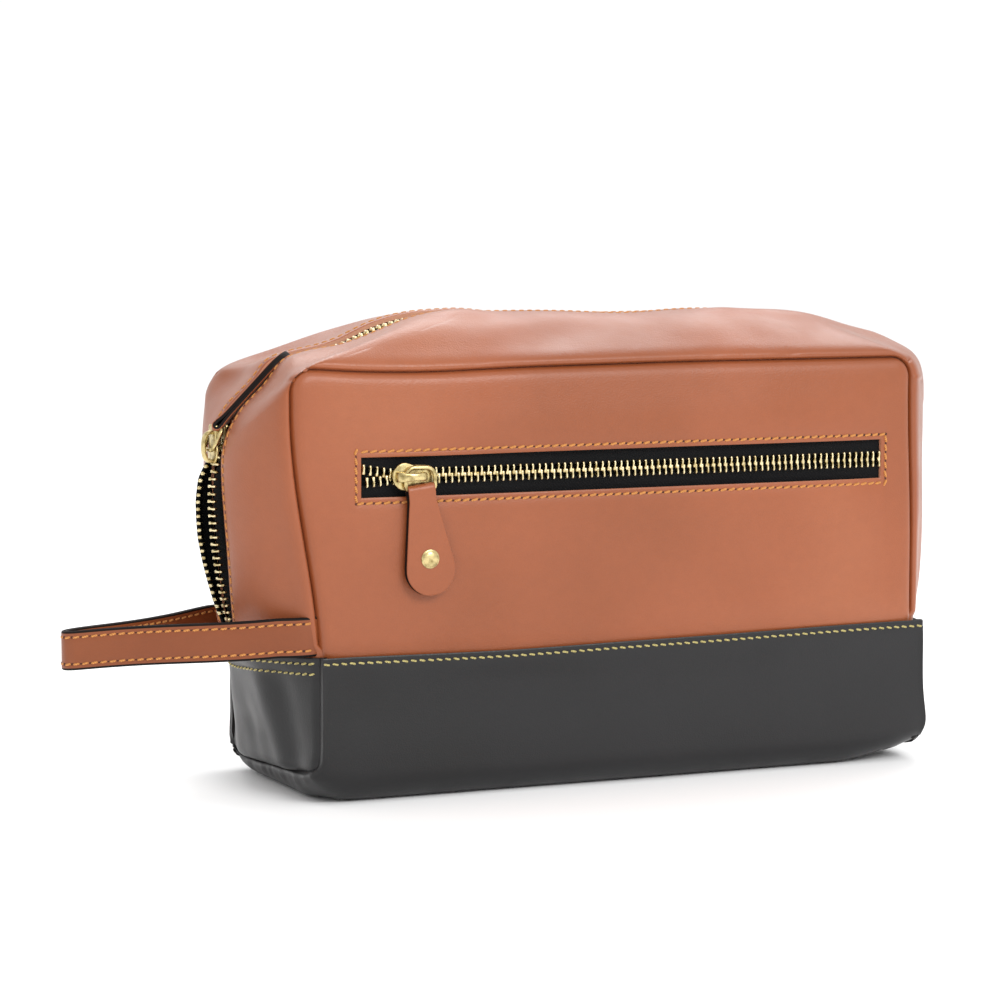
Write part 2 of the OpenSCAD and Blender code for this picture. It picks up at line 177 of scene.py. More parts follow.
def ridge_x(z, side=-1):
    """Distance of the zip line from the middle at a height below the shoulders."""
    k = 0 if side < 0 else 4
    part = RIDGE_LINE[RIDGE_MARK[k]:RIDGE_MARK[k + 1] + 1]
    order = np.argsort(part[:, 1])
    return abs(np.interp(z, part[order, 1], part[order, 0]))


def outline_x(z, side):
    """Edge of a panel at a height, with its round top corner. side is -1 left, 1 right."""
    z = np.asarray(z, float)
    edge = np.where(side < 0, -left_seam_x(z), right_seam_x(z))
    rise = np.clip(z - (BODY_H - CORNER_R), 0, CORNER_R)
    return edge - (CORNER_R - np.sqrt(np.maximum(CORNER_R ** 2 - rise ** 2, 0)))


def edge_distance(x, z):
    """Distance from a point on a panel to the panel's side or top seam."""
    gap = np.minimum(outline_x(z, -1) + x, outline_x(z, 1) - x)
    gap = np.minimum(gap, BODY_H - z)
    for side in (-1, 1):
        cz = BODY_H - CORNER_R
        cx = side * (outline_x(cz, side) - CORNER_R)
        out_x, out_z = (x - cx) * side, z - cz
        corner = (out_x > 0) & (out_z > 0)
        gap = np.where(corner, CORNER_R - np.hypot(out_x, out_z), gap)
    return np.maximum(gap, 0)


def settle(points):
    """The long top seam isn't quite straight: it stands up at the left corner and dips beside it, and
    the back one hangs lower at the left."""
    x, z = points[..., 0], points[..., 2]
    near = smooth(118, 160, z) * (1 - smooth(166, 182, z))
    back = smooth(8, 36, points[..., 1])
    points[..., 2] = z + near * (0.9 * bump(x, -130, 14) - 1.2 * bump(x, -82, 34) + 0.5 * smooth(-30, 40, x)
                                 - 3.0 * back * bump(x, -122, 26))
    return points


def seam_point(k, t, low):
    """Seam between panel and gusset: left, left corner, top, right corner, right.
    Gives the point and the direction straight away from the bag's middle there."""
    top = BODY_H - CORNER_R
    if k == 0:
        z = mix(low, top, t)
        return np.array([float(left_seam_x(z)), z]), np.array([-1.0, 0.0])
    if k == 4:
        z = mix(top, low, t)
        return np.array([float(right_seam_x(z)), z]), np.array([1.0, 0.0])
    left, right = float(left_seam_x(top)) + CORNER_R, float(right_seam_x(top)) - CORNER_R
    a = t * math.pi / 2
    if k == 1:
        out = np.array([-math.cos(a), math.sin(a)])
        return np.array([left, top]) + CORNER_R * out, out
    if k == 2:
        return np.array([mix(left, right, t), BODY_H]), np.array([0.0, 1.0])
    out = np.array([math.sin(a), math.cos(a)])
    return np.array([right, top]) + CORNER_R * out, out


def ridge_point(k, t, low, cut=0.0):
    """Zip line of the same five stretches, cut deeper into the bag by cut, with its outward direction."""
    a, b = RIDGE_MARK[k], RIDGE_MARK[k + 1]
    span = slice(a, b + 1)
    if k in (0, 4):
        top = RIDGE_LINE[b if k == 0 else a, 1]
        z = mix(low, top, t) if k == 0 else mix(top, low, t)
        key, order = z, np.argsort(RIDGE_LINE[span, 1])
        keys = RIDGE_LINE[span, 1][order]
    else:
        key, order = mix(RIDGE_RUN[a], RIDGE_RUN[b], t), slice(None)
        keys = RIDGE_RUN[span]
    point = np.array([np.interp(key, keys, RIDGE_LINE[span, i][order]) for i in (0, 1)])
    out = unit(np.array([np.interp(key, keys, RIDGE_OUT[span, i][order]) for i in (0, 1)]))
    return point - out * cut, out


PATH_STEPS = (48, 60, 90, 48, 48)


def stations(steps=PATH_STEPS):
    """(stretch, share) pairs along the whole seam, end to end."""
    return [(k, i / n) for k, n in enumerate(steps) for i in range(n)] + [(4, 1.0)]


def walk(points, normals, at, reach):
    """Places, directions along and normals at running lengths along a polyline. The direction is
    taken between the places at a reach behind and ahead."""
    s = path_length(points)

    def value(track, where):
        return np.stack([np.interp(where, s, column) for column in np.asarray(track, float).T], axis=-1)

    along = value(points, at + reach) - value(points, at - reach)
    return value(points, at), unit(along), unit(value(normals, at))


# ---- mesh making ---------------------------------------------------------------------------------
def make(name, verts, faces, materials, kinds, sharp=42):
    """A mesh object in metres. kinds gives each face its place in materials."""
    mesh = bpy.data.meshes.new(name)
    mesh.from_pydata((np.asarray(verts, float) * MM).tolist(), [], [tuple(map(int, f)) for f in faces])
    for material in materials:
        mesh.materials.append(material)
    mesh.polygons.foreach_set("material_index", np.asarray(kinds, np.int32))
    mesh.polygons.foreach_set("use_smooth", np.ones(len(faces), bool))
    turned_out = bmesh.new()
    turned_out.from_mesh(mesh)
    bmesh.ops.recalc_face_normals(turned_out, faces=turned_out.faces)
    turned_out.to_mesh(mesh)
    turned_out.free()
    mesh.set_sharp_from_angle(angle=math.radians(sharp))
    mesh.validate()
    mesh.update()
    obj = bpy.data.objects.new(name, mesh)
    bpy.context.scene.collection.objects.link(obj)
    return obj


def grid_normals(grid):
    along, across = np.gradient(grid, axis=0), np.gradient(grid, axis=1)
    return unit(np.cross(along, across))


def shell(name, outer, thick, materials, side, keep=None, inner=None, turned_in=0):
    """Closed skin of a grid of points with a thickness. side turns the outer face over.
    materials are outer face, inner face and cut edge. keep says which cells are there.
    The first turned_in columns of the inner face look like the outer one."""
    rows, cols = outer.shape[:2]
    if inner is None:
        inner = outer - side * grid_normals(outer) * thick
    verts = np.concatenate([outer.reshape(-1, 3), inner.reshape(-1, 3)])
    shift = rows * cols
    span = cols - 1
    if keep is None:
        keep = np.ones((rows - 1, span), bool)

    def at(i, j):
        return i * cols + j

    def there(i, j):
        return 0 <= i < rows - 1 and 0 <= j < span and keep[i, j]

    faces, kinds = [], []

    def add(corners, kind):
        faces.append(corners if side < 0 else corners[::-1])
        kinds.append(kind)

    for i in range(rows - 1):
        for j in range(span):
            if not keep[i, j]:
                continue
            a, b, c, d = at(i, j), at(i, j + 1), at(i + 1, j + 1), at(i + 1, j)
            add((a, b, c, d), 0)
            add((d + shift, c + shift, b + shift, a + shift), 0 if j < turned_in else 1)
            for p, q, gone in ((b, a, not there(i - 1, j)), (c, b, not there(i, j + 1)),
                               (d, c, not there(i + 1, j)), (a, d, not there(i, j - 1))):
                if gone:
                    add((p, q, q + shift, p + shift), 2)
    used = sorted({v for f in faces for v in f})
    renumber = {v: n for n, v in enumerate(used)}
    faces = [tuple(renumber[v] for v in f) for f in faces]
    return make(name, verts[used], faces, materials, kinds)


def copies(name, base, places, materials):
    """One mesh of many copies. base is (verts, faces, kinds); a place is (origin, 3x3 axes rows)."""
    verts, faces, kinds = base
    verts = np.asarray(verts, float)
    all_verts, all_faces, all_kinds = [], [], []
    for n, (origin, axes) in enumerate(places):
        all_verts.append(verts @ np.asarray(axes) + np.asarray(origin))
        all_faces += [tuple(v + n * len(verts) for v in f) for f in faces]
        all_kinds += kinds
    return make(name, np.concatenate(all_verts), all_faces, materials, all_kinds, sharp=60)


def loft(rings, kind=0, cap=True):
    """Faces over a stack of rings with the same number of points."""
    n, m = len(rings), len(rings[0])
    verts = np.concatenate([np.asarray(r, float) for r in rings])
    faces = [(i * m + j, i * m + (j + 1) % m, (i + 1) * m + (j + 1) % m, (i + 1) * m + j)
             for i in range(n - 1) for j in range(m)]
    if cap:
        faces += [tuple(range(m))[::-1], tuple((n - 1) * m + j for j in range(m))]
    return verts, faces, [kind] * len(faces)


def solid(name, part, materials):
    verts, faces, kinds = part
    return make(name, verts, faces, materials, kinds)


def join(*parts):
    """Several (verts, faces, kinds) as one."""
    verts, faces, kinds, shift = [], [], [], 0
    for v, f, k in parts:
        verts.append(np.asarray(v, float))
        faces += [tuple(i + shift for i in face) for face in f]
        kinds += list(k)
        shift += len(v)
    return np.concatenate(verts), faces, kinds


def wire_loop(points, radius, sides):
    """Round wire along a closed path that lies flat in XY."""
    p = np.asarray(points, float)
    tangents = unit(np.roll(p, -1, 0) - np.roll(p, 1, 0))
    angles = np.arange(sides) * math.tau / sides
    normal = unit(np.cross(tangents[0], [0.0, 0.0, 1.0]))
    rings = []
    for centre, t in zip(p, tangents):
        normal = unit(normal - t * (normal @ t))
        other = np.cross(t, normal)
        rings.append(centre + radius * (np.cos(angles)[:, None] * normal + np.sin(angles)[:, None] * other))
    verts, faces, _ = loft(rings, cap=False)
    last = (len(rings) - 1) * sides
    # the ring frames may turn round once along the loop, so the nearest start is joined
    gap = [np.linalg.norm(np.roll(rings[0], -turn, 0) - rings[-1], axis=1).sum() for turn in range(sides)]
    turn = int(np.argmin(gap))
    faces += [(last + j, last + (j + 1) % sides, (j + 1 + turn) % sides, (j + turn) % sides)
              for j in range(sides)]
    return verts, faces, [0] * len(faces)


def plate(outline, low, high, edge, dome=0.0):
    """Plate over a 2-D outline with rounded edges and a slightly domed face."""
    o = np.asarray(outline, float)
    centre = o.mean(0)
    nrm = unit(np.roll(o, -1, 0) - np.roll(o, 1, 0))
    inward = np.stack([-nrm[:, 1], nrm[:, 0]], 1)

    def ring(points, z):
        return np.column_stack([points, np.full(len(o), z)])

    def shrunk(points, share):
        return centre + (points - centre) * share

    # the round edge as quarter turns: how far in from the outline, and how far from the face
    turns = [math.radians(a) for a in (0, 22.5, 45, 67.5, 90)]
    edges = [(o + inward * edge * (1 - math.sin(a)), edge * (1 - math.cos(a))) for a in turns]
    rim = edges[0][0]
    levels = (0.75, 0.45, 0.18)
    stack = [ring(shrunk(rim, share), low) for share in levels[::-1]]
    stack += [ring(points, low + inset) for points, inset in edges]
    stack += [ring(points, high - inset) for points, inset in edges[::-1]]
    stack += [ring(shrunk(rim, share), high + dome * (1 - share ** 2)) for share in levels]
    return loft(stack)


def rounded_box(half_x, low, high, low_r, high_r, step):
    """Outline of a box with round corners, anticlockwise from the high one at +X. step is in degrees."""
    top, bottom = high - high_r, low + low_r
    corners = ((1, top, high_r), (-1, top, high_r), (-1, bottom, low_r), (1, bottom, low_r))
    points = []
    for n, (side, y, r) in enumerate(corners):
        for angle in range(90 * n, 90 * n + 91, step):
            a = math.radians(angle)
            points.append((side * (half_x - r) + r * math.cos(a), y + r * math.sin(a)))
    return points


def squarish(angles, power):
    """Cosines and sines of a circle squared off towards a box; power 1 is round."""
    c, s = np.cos(angles), np.sin(angles)
    return np.sign(c) * abs(c) ** power, np.sign(s) * abs(s) ** power


def placed(part, matrix):
    """A part moved by a 4x4 matrix in millimetres."""
    v, f, k = part
    mat = np.asarray(matrix, float)
    return v @ mat[:3, :3].T + mat[:3, 3], f, k


def axes_matrix(origin, x, y, z):
    mat = np.eye(4)
    mat[:3, 0], mat[:3, 1], mat[:3, 2], mat[:3, 3] = x, y, z, origin
    return mat


# ---- materials -----------------------------------------------------------------------------------
def rgb(value):
    """Linear colour from an sRGB hex string."""
    parts = [int(value[i:i + 2], 16) / 255 for i in (0, 2, 4)]
    return tuple(p / 12.92 if p <= 0.04045 else ((p + 0.055) / 1.055) ** 2.4 for p in parts) + (1.0,)


class Nodes:
    """Short way to write one node material."""

    def __init__(self, name, **sockets):
        self.material = bpy.data.materials.new(name)
        self.material.use_nodes = True
        self.tree = self.material.node_tree
        self.shader = self.tree.nodes["Principled BSDF"]
        for key, value in sockets.items():
            self.shader.inputs[key.replace("_", " ")].default_value = value
        self.place = self.add("ShaderNodeTexCoord").outputs["Object"]

    def add(self, kind, links=None, **settings):
        node = self.tree.nodes.new(kind)
        for key, value in settings.items():
            if hasattr(node, key) and key not in node.inputs:
                setattr(node, key, value)
            else:
                node.inputs[key].default_value = value
        for key, output in (links or {}).items():
            self.tree.links.new(output, node.inputs[key])
        return node

    def noise(self, scale, detail, stretch=None):
        place = self.place
        if stretch:
            mapping = self.add("ShaderNodeMapping", {"Vector": place})
            mapping.inputs["Scale"].default_value = stretch
            place = mapping.outputs["Vector"]
        node = self.add("ShaderNodeTexNoise", {"Vector": place}, Scale=scale, Detail=detail, Roughness=0.5)
        return node.outputs["Fac"]

    def cells(self, scale):
        node = self.add("ShaderNodeTexVoronoi", {"Vector": self.place}, feature="F1", Scale=scale)
        return node.outputs["Distance"]

    def stripes(self, scale, direction, distortion=0.0):
        node = self.add("ShaderNodeTexWave", {"Vector": self.place}, Scale=scale, Distortion=distortion,
                        bands_direction=direction)
        return node.outputs["Fac"]

    def ramp(self, fac, stops):
        node = self.add("ShaderNodeValToRGB", {"Fac": fac})
        band = node.color_ramp
        while len(band.elements) < len(stops):
            band.elements.new(0.5)
        for element, (place, colour) in zip(band.elements, stops):
            element.position = place
            element.color = colour if isinstance(colour, tuple) else (colour, colour, colour, 1.0)
        return node.outputs["Color"]

    def blend(self, fac, a, b, mode="MIX"):
        """Mix of two colours; each of the three is a node's output or a plain value."""
        node = self.add("ShaderNodeMix", data_type="RGBA", blend_type=mode)
        colours = [s for s in node.inputs if s.type == "RGBA"]
        for socket, value in zip([node.inputs[0]] + colours, (fac, a, b)):
            if isinstance(value, (float, tuple)):
                socket.default_value = value
            else:
                self.tree.links.new(value, socket)
        return [s for s in node.outputs if s.type == "RGBA"][0]

    def product(self, a, b):
        node = self.add("ShaderNodeMath", operation="MULTIPLY")
        for socket, value in zip(node.inputs, (a, b)):
            self.tree.links.new(value, socket)
        return node.outputs["Value"]

    def set(self, socket, output):
        self.tree.links.new(output, self.shader.inputs[socket])

    def relief(self, *layers):
        """Bumps stacked on each other; a layer is (height output, depth in metres)."""
        normal = None
        for height, depth in layers:
            links = {"Height": height}
            if normal is not None:
                links["Normal"] = normal
            normal = self.add("ShaderNodeBump", links, Strength=1.0, Distance=depth).outputs["Normal"]
        self.set("Normal", normal)
        return self.material


def leather(name, dark, mid, light, rough, grain=0.00005, **sockets):
    """Smooth finished leather: slow colour change, fine pores, faint scuffs and creases."""
    m = Nodes(name, **sockets)
    slow = m.ramp(m.noise(9, 2), [(0.34, dark), (0.5, mid), (0.68, light)])
    mottle = m.ramp(m.noise(260, 4), [(0.3, 0.42), (0.7, 0.58)])
    colour = m.blend(0.16, slow, mottle, "OVERLAY")
    pores = m.cells(1500)
    pore_tint = m.ramp(pores, [(0.0, 0.80), (0.16, 1.0)])
    m.set("Base Color", m.blend(0.35, colour, pore_tint, "MULTIPLY"))
    m.set("Roughness", m.ramp(m.noise(55, 4), [(0.3, rough - 0.06), (0.7, rough + 0.07)]))
    return m.relief((m.noise(180, 3), 0.00005), (pores, grain), (m.noise(2600, 3), grain * 0.6))


def cloth(name, dark, light, scale, rough, depth=0.00012, **sockets):
    """Plain weave: two sets of threads crossing."""
    m = Nodes(name, Roughness=rough, **sockets)
    weave = m.product(m.stripes(scale, "X", 0.6), m.stripes(scale, "Z", 0.6))
    m.set("Base Color", m.blend(m.noise(60, 3), m.ramp(weave, [(0.0, dark), (1.0, light)]), dark))
    return m.relief((weave, depth))


def tape(name, dark, light):
    """Zip tape: fine ribs along the zip, broken into short floats."""
    m = Nodes(name, Roughness=0.82, Specular_IOR_Level=0.2)
    weave = m.product(m.stripes(620, "Z", 1.2), m.stripes(430, "DIAGONAL", 0.8))
    m.set("Base Color", m.ramp(weave, [(0.05, dark), (0.8, light)]))
    return m.relief((weave, 0.0002))


def brass(name, dark, light, rough):
    """Antique brass: darker patches, small scratches."""
    m = Nodes(name, Metallic=1.0)
    m.set("Base Color", m.ramp(m.noise(420, 4), [(0.32, dark), (0.56, light)]))
    m.set("Roughness", m.ramp(m.noise(700, 4), [(0.3, rough - 0.07), (0.7, rough + 0.12)]))
    return m.relief((m.noise(1500, 3, stretch=(1, 3, 1)), 0.00003))


def thread(name, dark, light):
    """Waxed thread with a twist."""
    m = Nodes(name, Roughness=0.5)
    twist = m.stripes(1100, "DIAGONAL")
    m.set("Base Color", m.ramp(twist, [(0.15, dark), (0.7, light)]))
    return m.relief((twist, 0.00012))


TAN = leather("tan_leather", rgb("894620"), rgb("934d28"), rgb("9b5632"), 0.38,
              Specular_IOR_Level=0.5, Sheen_Weight=0.08, Sheen_Roughness=0.4, Coat_Weight=0.06,
              Coat_Roughness=0.3)
# the strap is the bag's tan leather painted darker, a painted shade for the shade that falls along the strap
STRAP_TAN_SHADED = leather("strap_leather", rgb("783c1c"), rgb("814321"), rgb("894b29"), 0.42,
                    Specular_IOR_Level=0.4, Sheen_Weight=0.05, Sheen_Roughness=0.4)
BLACK = leather("black_leather", rgb("0e0d0e"), rgb("111012"), rgb("151416"), 0.38,
                Specular_IOR_Level=0.40, Sheen_Weight=0.02, Sheen_Roughness=0.4, Coat_Weight=0.05,
                Coat_Roughness=0.3)
RAW_TAN = leather("tan_cut_edge", rgb("b8775a"), rgb("c98c6e"), rgb("d39c80"), 0.7, grain=0.0001)
RAW_BLACK = leather("black_cut_edge", rgb("151312"), rgb("1c1918"), rgb("24201e"), 0.7, grain=0.0001)
EDGE_PAINT = leather("edge_paint", rgb("0e0a09"), rgb("150e0c"), rgb("1a110f"), 0.6, Specular_IOR_Level=0.15)
SUEDE = cloth("leather_back", rgb("141213"), rgb("201d1e"), 900, 0.95, 0.00008, Specular_IOR_Level=0.2)
LINING = cloth("lining_cloth", rgb("0d0d0f"), rgb("1a1a1d"), 700, 0.85, Specular_IOR_Level=0.2)
TAPE = tape("zip_tape", rgb("060607"), rgb("121316"))
BRASS = brass("antique_brass", rgb("8d7c50"), rgb("d3c08a"), 0.28)
TOOTH_BRASS = brass("tooth_brass", rgb("a8935c"), rgb("efe0b4"), 0.24)
THREAD_TAN = thread("orange_thread", rgb("a9652c"), rgb("e09a4e"))
THREAD_PALE = thread("pale_thread", rgb("90813f"), rgb("d6c887"))
# the dark discs at the stitch ends are painted shade of the stitch holes, dark brown on tan and near black on
# black
HOLE_SHADE_TAN = leather("stitch_hole_shade_tan", rgb("3a180c"), rgb("4a2012"), rgb("5a2a18"), 0.8)
HOLE_SHADE_BLACK = leather("stitch_hole_shade_black", rgb("080808"), rgb("0c0c0c"), rgb("101010"), 0.8)
BOARD = cloth("fibreboard", rgb("5f574b"), rgb("7d7466"), 260, 0.9)
TAN_SET = [TAN, SUEDE, RAW_TAN]
BLACK_SET = [BLACK, SUEDE, RAW_BLACK]


# ---- what rides, stays put and stands for what ---------------------------------------------------
def dress(piece, body, slot, *nodes):
    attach(piece, body)
    return finish_piece(piece, nodes)


def bend(piece, half, slot, *nodes):
    """A piece of one half of the mouth, left in place: its placement is baked into its mesh."""
    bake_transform(piece)
    return finish_piece(piece, nodes)


def finish_piece(piece, nodes):
    if nodes:
        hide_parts(*nodes)
    return piece


# ---- stitches ------------------------------------------------------------------------------------
STITCH_PITCH = 3.55
STITCH_LIFT = 0.16


def stitch_base(length, radius):
    """One stitch along X with a small dark disc at each end, painted shade standing for the stitch hole; Z is
    out of the leather.
    """
    rings = []
    for t in np.linspace(0, 1, 7):
        r = radius * math.sqrt(max(0.12, 1 - (2 * t - 1) ** 6))
        z = STITCH_LIFT * (1 - (2 * t - 1) ** 4) - 0.22 * abs(2 * t - 1) ** 6
        a = np.arange(6) * math.tau / 6
        rings.append(np.column_stack([np.full(6, (t - 0.5) * length), r * np.cos(a), z + r * np.sin(a)]))
    body = loft(rings, 0)
    a = np.arange(8) * math.tau / 8
    hole_shade = [np.column_stack([0.5 * length + 0.12 + s * 0.72 * np.cos(a), -0.30 + s * 0.62 * np.sin(a),
                             np.full(8, z)]) for s, z in ((1.0, -0.2), (0.8, 0.07), (0.3, 0.1))]
    return join(body, loft(hole_shade, 1))


def stitch_row(name, points, normals, thread_set, radius=0.44, slant=11.0, share=0.80):
    """Stitches along a path on a surface. Normals are the surface's, at the same points."""
    length = path_length(points)[-1]
    count = max(1, round(length / STITCH_PITCH))
    step = length / count
    c, s = math.cos(math.radians(slant)), math.sin(math.radians(slant))
    places = []
    for here, x, out in zip(*walk(points, normals, (np.arange(count) + 0.5) * step, 0.4)):
        x = unit(x - out * (x @ out))
        y = np.cross(out, x)
        places.append((here, np.array([x * c + y * s, y * c - x * s, out])))
    return copies(name, stitch_base(step * share, radius), places, thread_set)


TAN_THREAD_SET = [THREAD_TAN, HOLE_SHADE_TAN]
PALE_THREAD_SET = [THREAD_PALE, HOLE_SHADE_BLACK]


# ---- front and back panels -----------------------------------------------------------------------
SWELL_X, SWELL_Z = (-129, 131), (50, 168)


def belly(x, z, power):
    """Share of a panel's swelling: one in its middle, nothing at its edges."""
    across = np.clip((x - SWELL_X[0]) / (SWELL_X[1] - SWELL_X[0]), 0, 1)
    up = np.clip((z - SWELL_Z[0]) / (SWELL_Z[1] - SWELL_Z[0]), 0, 1)
    return np.sin(across * math.pi) ** power * np.sin(up * math.pi)


def front_relief(x, z):
    """How far the front panel stands out from flat, outwards positive."""
    soft = 0.55 * waves(x, z * 0.8, 11, 150)
    left_dent = -1.0 * bump(x, -108, 22) * bump(z, 92, 34)
    right_dent = -1.3 * bump(x, 121, 10) * bump(z, 110, 45)
    under = 0.5 * bump(z, 66, 8)
    zx = np.clip(x, WINDOW[0] - 2, WINDOW[1] + 2)
    gap = np.hypot(x - zx, np.maximum(0, np.abs(z - WINDOW_Z) - 9.8))
    window = -0.5 * np.exp(-gap / 4.5)
    return soft + 2.0 * belly(x, z, 0.7) + left_dent + right_dent + under + window


def back_relief(x, z):
    soft = 0.9 * waves(x, z * 0.7, 23, 120)
    return soft + 1.6 * belly(x, z, 1) - 0.9 * bump(x, -40, 35) * bump(z, 120, 25)


def rolled_edge(d):
    """How far a panel's face falls away beside its turned seam."""
    return 2.9 * np.exp(-((d / 1.3) ** 1.2)) + 1.3 * np.exp(-d / 6.0) + 1.4 * np.exp(-d / 0.4)


STITCH_BOX = (-111.1, 118.2, 114.2, 133.8)


def panel_depth(x, z, relief):
    """Distance of a panel's outer face from the bag's middle plane."""
    deep = HALF_W + SKIN + relief(x, z) * smooth(0, 22, edge_distance(x, z)) * smooth(54, 66, z)
    deep = deep - 0.9 * smooth(59.5, 56, z)
    return deep - rolled_edge(edge_distance(x, z))


EDGE_MARKS = (0, 0.35, 0.8, 1.4, 2.2, 3.4, 5, 7)
PANEL_LOW = 50.0
# columns of the grid are upright between these, and beyond them they follow the end seams
UPRIGHT = (-112.5, 119.5)


def panel_grid(relief, sign, window):
    """Grid of a panel's outer face, finer beside its seams and round the window if it has one."""
    marks_x, marks_z = [], [(BODY_H, [-m for m in EDGE_MARKS] + [-8])]
    if window:
        for marks, first in ((marks_x, 0), (marks_z, 2)):
            marks.extend([(WINDOW[first], (-1.1, -0.5, -0.2, 0)), (WINDOW[first + 1], (0, 0.2, 0.5, 1.1)),
                          (STITCH_BOX[first], (-0.7, 0, 0.5)), (STITCH_BOX[first + 1], (-0.5, 0, 0.7))])
    x_min, x_max = UPRIGHT
    inner = lines(x_min, x_max, 2.6, marks_x)
    z = lines(PANEL_LOW, BODY_H, 2.4, marks_z)
    shares = 1 - np.array(EDGE_MARKS + (9.5, 12, 14.5)) / 16.5
    rows = []
    for height in z:
        left = -float(outline_x(height, -1))
        right = float(outline_x(height, 1))
        xs = np.concatenate([mix(x_min, left, shares), inner, mix(x_max, right, shares[::-1])])
        zs = np.full(len(xs), height)
        rows.append(np.column_stack([xs, sign * panel_depth(xs, zs, relief), zs]))
    return np.array(rows), z


def make_front_panel():
    grid, z = panel_grid(front_relief, -1, True)
    x0, x1, z0, z1 = WINDOW
    xs = grid[len(z) // 2, :, 0]
    in_x = (xs[:-1] + 0.01 > x0) & (xs[1:] - 0.01 < x1)
    in_z = (z[:-1] + 0.01 > z0) & (z[1:] - 0.01 < z1)
    keep = ~(in_z[:, None] & in_x[None, :])
    # round the window's cut edge and press a line under the stitches
    gx, gz = grid[..., 0], grid[..., 2]
    out_x = np.maximum(np.maximum(x0 - gx, gx - x1), 0)
    out_z = np.maximum(np.maximum(z0 - gz, gz - z1), 0)
    gap = np.hypot(out_x, out_z)
    grid[..., 1] += 0.30 * np.exp(-((gap / 0.32) ** 1.2))
    sx0, sx1, sz0, sz1 = STITCH_BOX
    on_x = (gx > sx0 - 0.9) & (gx < sx1 + 0.9)
    on_z = (gz > sz0 - 0.9) & (gz < sz1 + 0.9)
    near = np.minimum(np.where(on_x, np.minimum(abs(gz - sz0), abs(gz - sz1)), 99),
                      np.where(on_z, np.minimum(abs(gx - sx0), abs(gx - sx1)), 99))
    grid[..., 1] += 0.22 * np.exp(-((near / 0.6) ** 2))
    panel = shell("front_panel_leather", settle(grid), SKIN, TAN_SET, side=-1, keep=keep)
    bend(panel, "front_half", "tan_leather", "front_panel")

    # round the window, from its lower left corner up and back
    way = np.linspace(0, 4, 241)
    x = np.interp(way, range(5), (sx0, sx0, sx1, sx1, sx0))
    z = np.interp(way, range(5), (sz0, sz1, sz1, sz0, sz0))
    on = np.column_stack([x, 0.2 - panel_depth(x, z, front_relief), z])
    out = np.tile([0.0, -1.0, 0.0], (len(on), 1))
    row = stitch_row("window_stitches", on, out, TAN_THREAD_SET, radius=0.50, slant=14, share=0.90)
    bend(row, "front_half", "tan_leather")


def make_back_panel():
    grid, _ = panel_grid(back_relief, 1, False)
    panel = shell("back_panel_leather", settle(grid), SKIN, TAN_SET, side=1)
    bend(panel, "back_half", "tan_leather", "back_panel")


make_front_panel()
make_back_panel()


# ---- gusset halves -------------------------------------------------------------------------------
GUSSET_LOW = 50.0
LIP_HEIGHTS = (60.5, 62, 65, 69, 74, 85, 98, 110, 121, 128.6, 135, 141)
LIP_GAPS = (0.4, 3.4, 6.6, 8.2, 9.6, 11.6, 12.5, 12.0, 10.2, 8.5, 7.4, 7.0)


def lip_y(z, k):
    """Distance of the gusset's lip from the zip line. Both slots close at their feet, and the left
    one gapes below the slider."""
    if k == 0:
        return float(np.interp(z, LIP_HEIGHTS, LIP_GAPS))
    if k == 4:
        return float(np.interp(z, (60.5, 62, 65, 69, 74), (0.4, 3.4, 5.6, 6.7, 7.0)))
    return LIP_Y


# shares of the way from the seam to the lip, closer together at both, and the same in millimetres
STITCH_SHARE = 0.93
CROSS = np.array([0, 0.004, 0.009, 0.016, 0.025, 0.036, 0.05, 0.066, 0.085, 0.115, 0.15, 0.19, 0.235, 0.285,
                  0.34, 0.40, 0.46, 0.52, 0.58, 0.64, 0.70, 0.76, 0.81, 0.855, 0.89, 0.915, STITCH_SHARE,
                  0.945, 0.965, 0.98, 0.992, 1.0])
GUSSET_ARC = 42.0
FROM_SEAM = CROSS * GUSSET_ARC


def gusset_extra(k, t, u, front):
    """Slow unevenness of the gusset, outwards positive."""
    s = k + t
    swell = math.sin(math.pi * min(1, u * 1.15)) ** 2
    out = 0.5 * swell * math.sin(s * 7.1 + (0.6 if front else 2.0))
    if k == 2:
        out += 0.7 * swell * math.sin(t * 11.0 + 0.4) + 0.3 * swell * math.sin(t * 29 + u * 5)
    if k in (0, 4):
        high = t if k == 0 else 1 - t
        out += 0.9 * math.exp(-((u - 0.45) / 0.22) ** 2) * math.sin(high * 3.0 + 0.5)
        out -= 0.9 * math.exp(-((u - 0.16) / 0.10) ** 2) * math.exp(-((high - 0.30) ** 2) / 0.03)
    if k == 1 and front:
        # the corner puffs up and hides the zip beside the pull
        out += 1.6 * math.exp(-((t - 0.34) / 0.16) ** 2) * math.exp(-((u - 0.72) / 0.25) ** 2)
    return out


def crease(grid, normals, start, end, width, depth):
    """Press a fold into a grid along the line from start to end, fading towards its end and the seam."""
    a, b = np.asarray(start, float), np.asarray(end, float)
    along = np.clip(((grid - a) @ (b - a)) / ((b - a) @ (b - a)), 0, 1)
    gap = np.linalg.norm(grid - (a + along[..., None] * (b - a)), axis=-1)
    fade = (1 - along) ** 0.8 * smooth(0.4, 3.0, FROM_SEAM)
    return grid - normals * (depth * fade * np.exp(-((gap / width) ** 2)))[..., None]


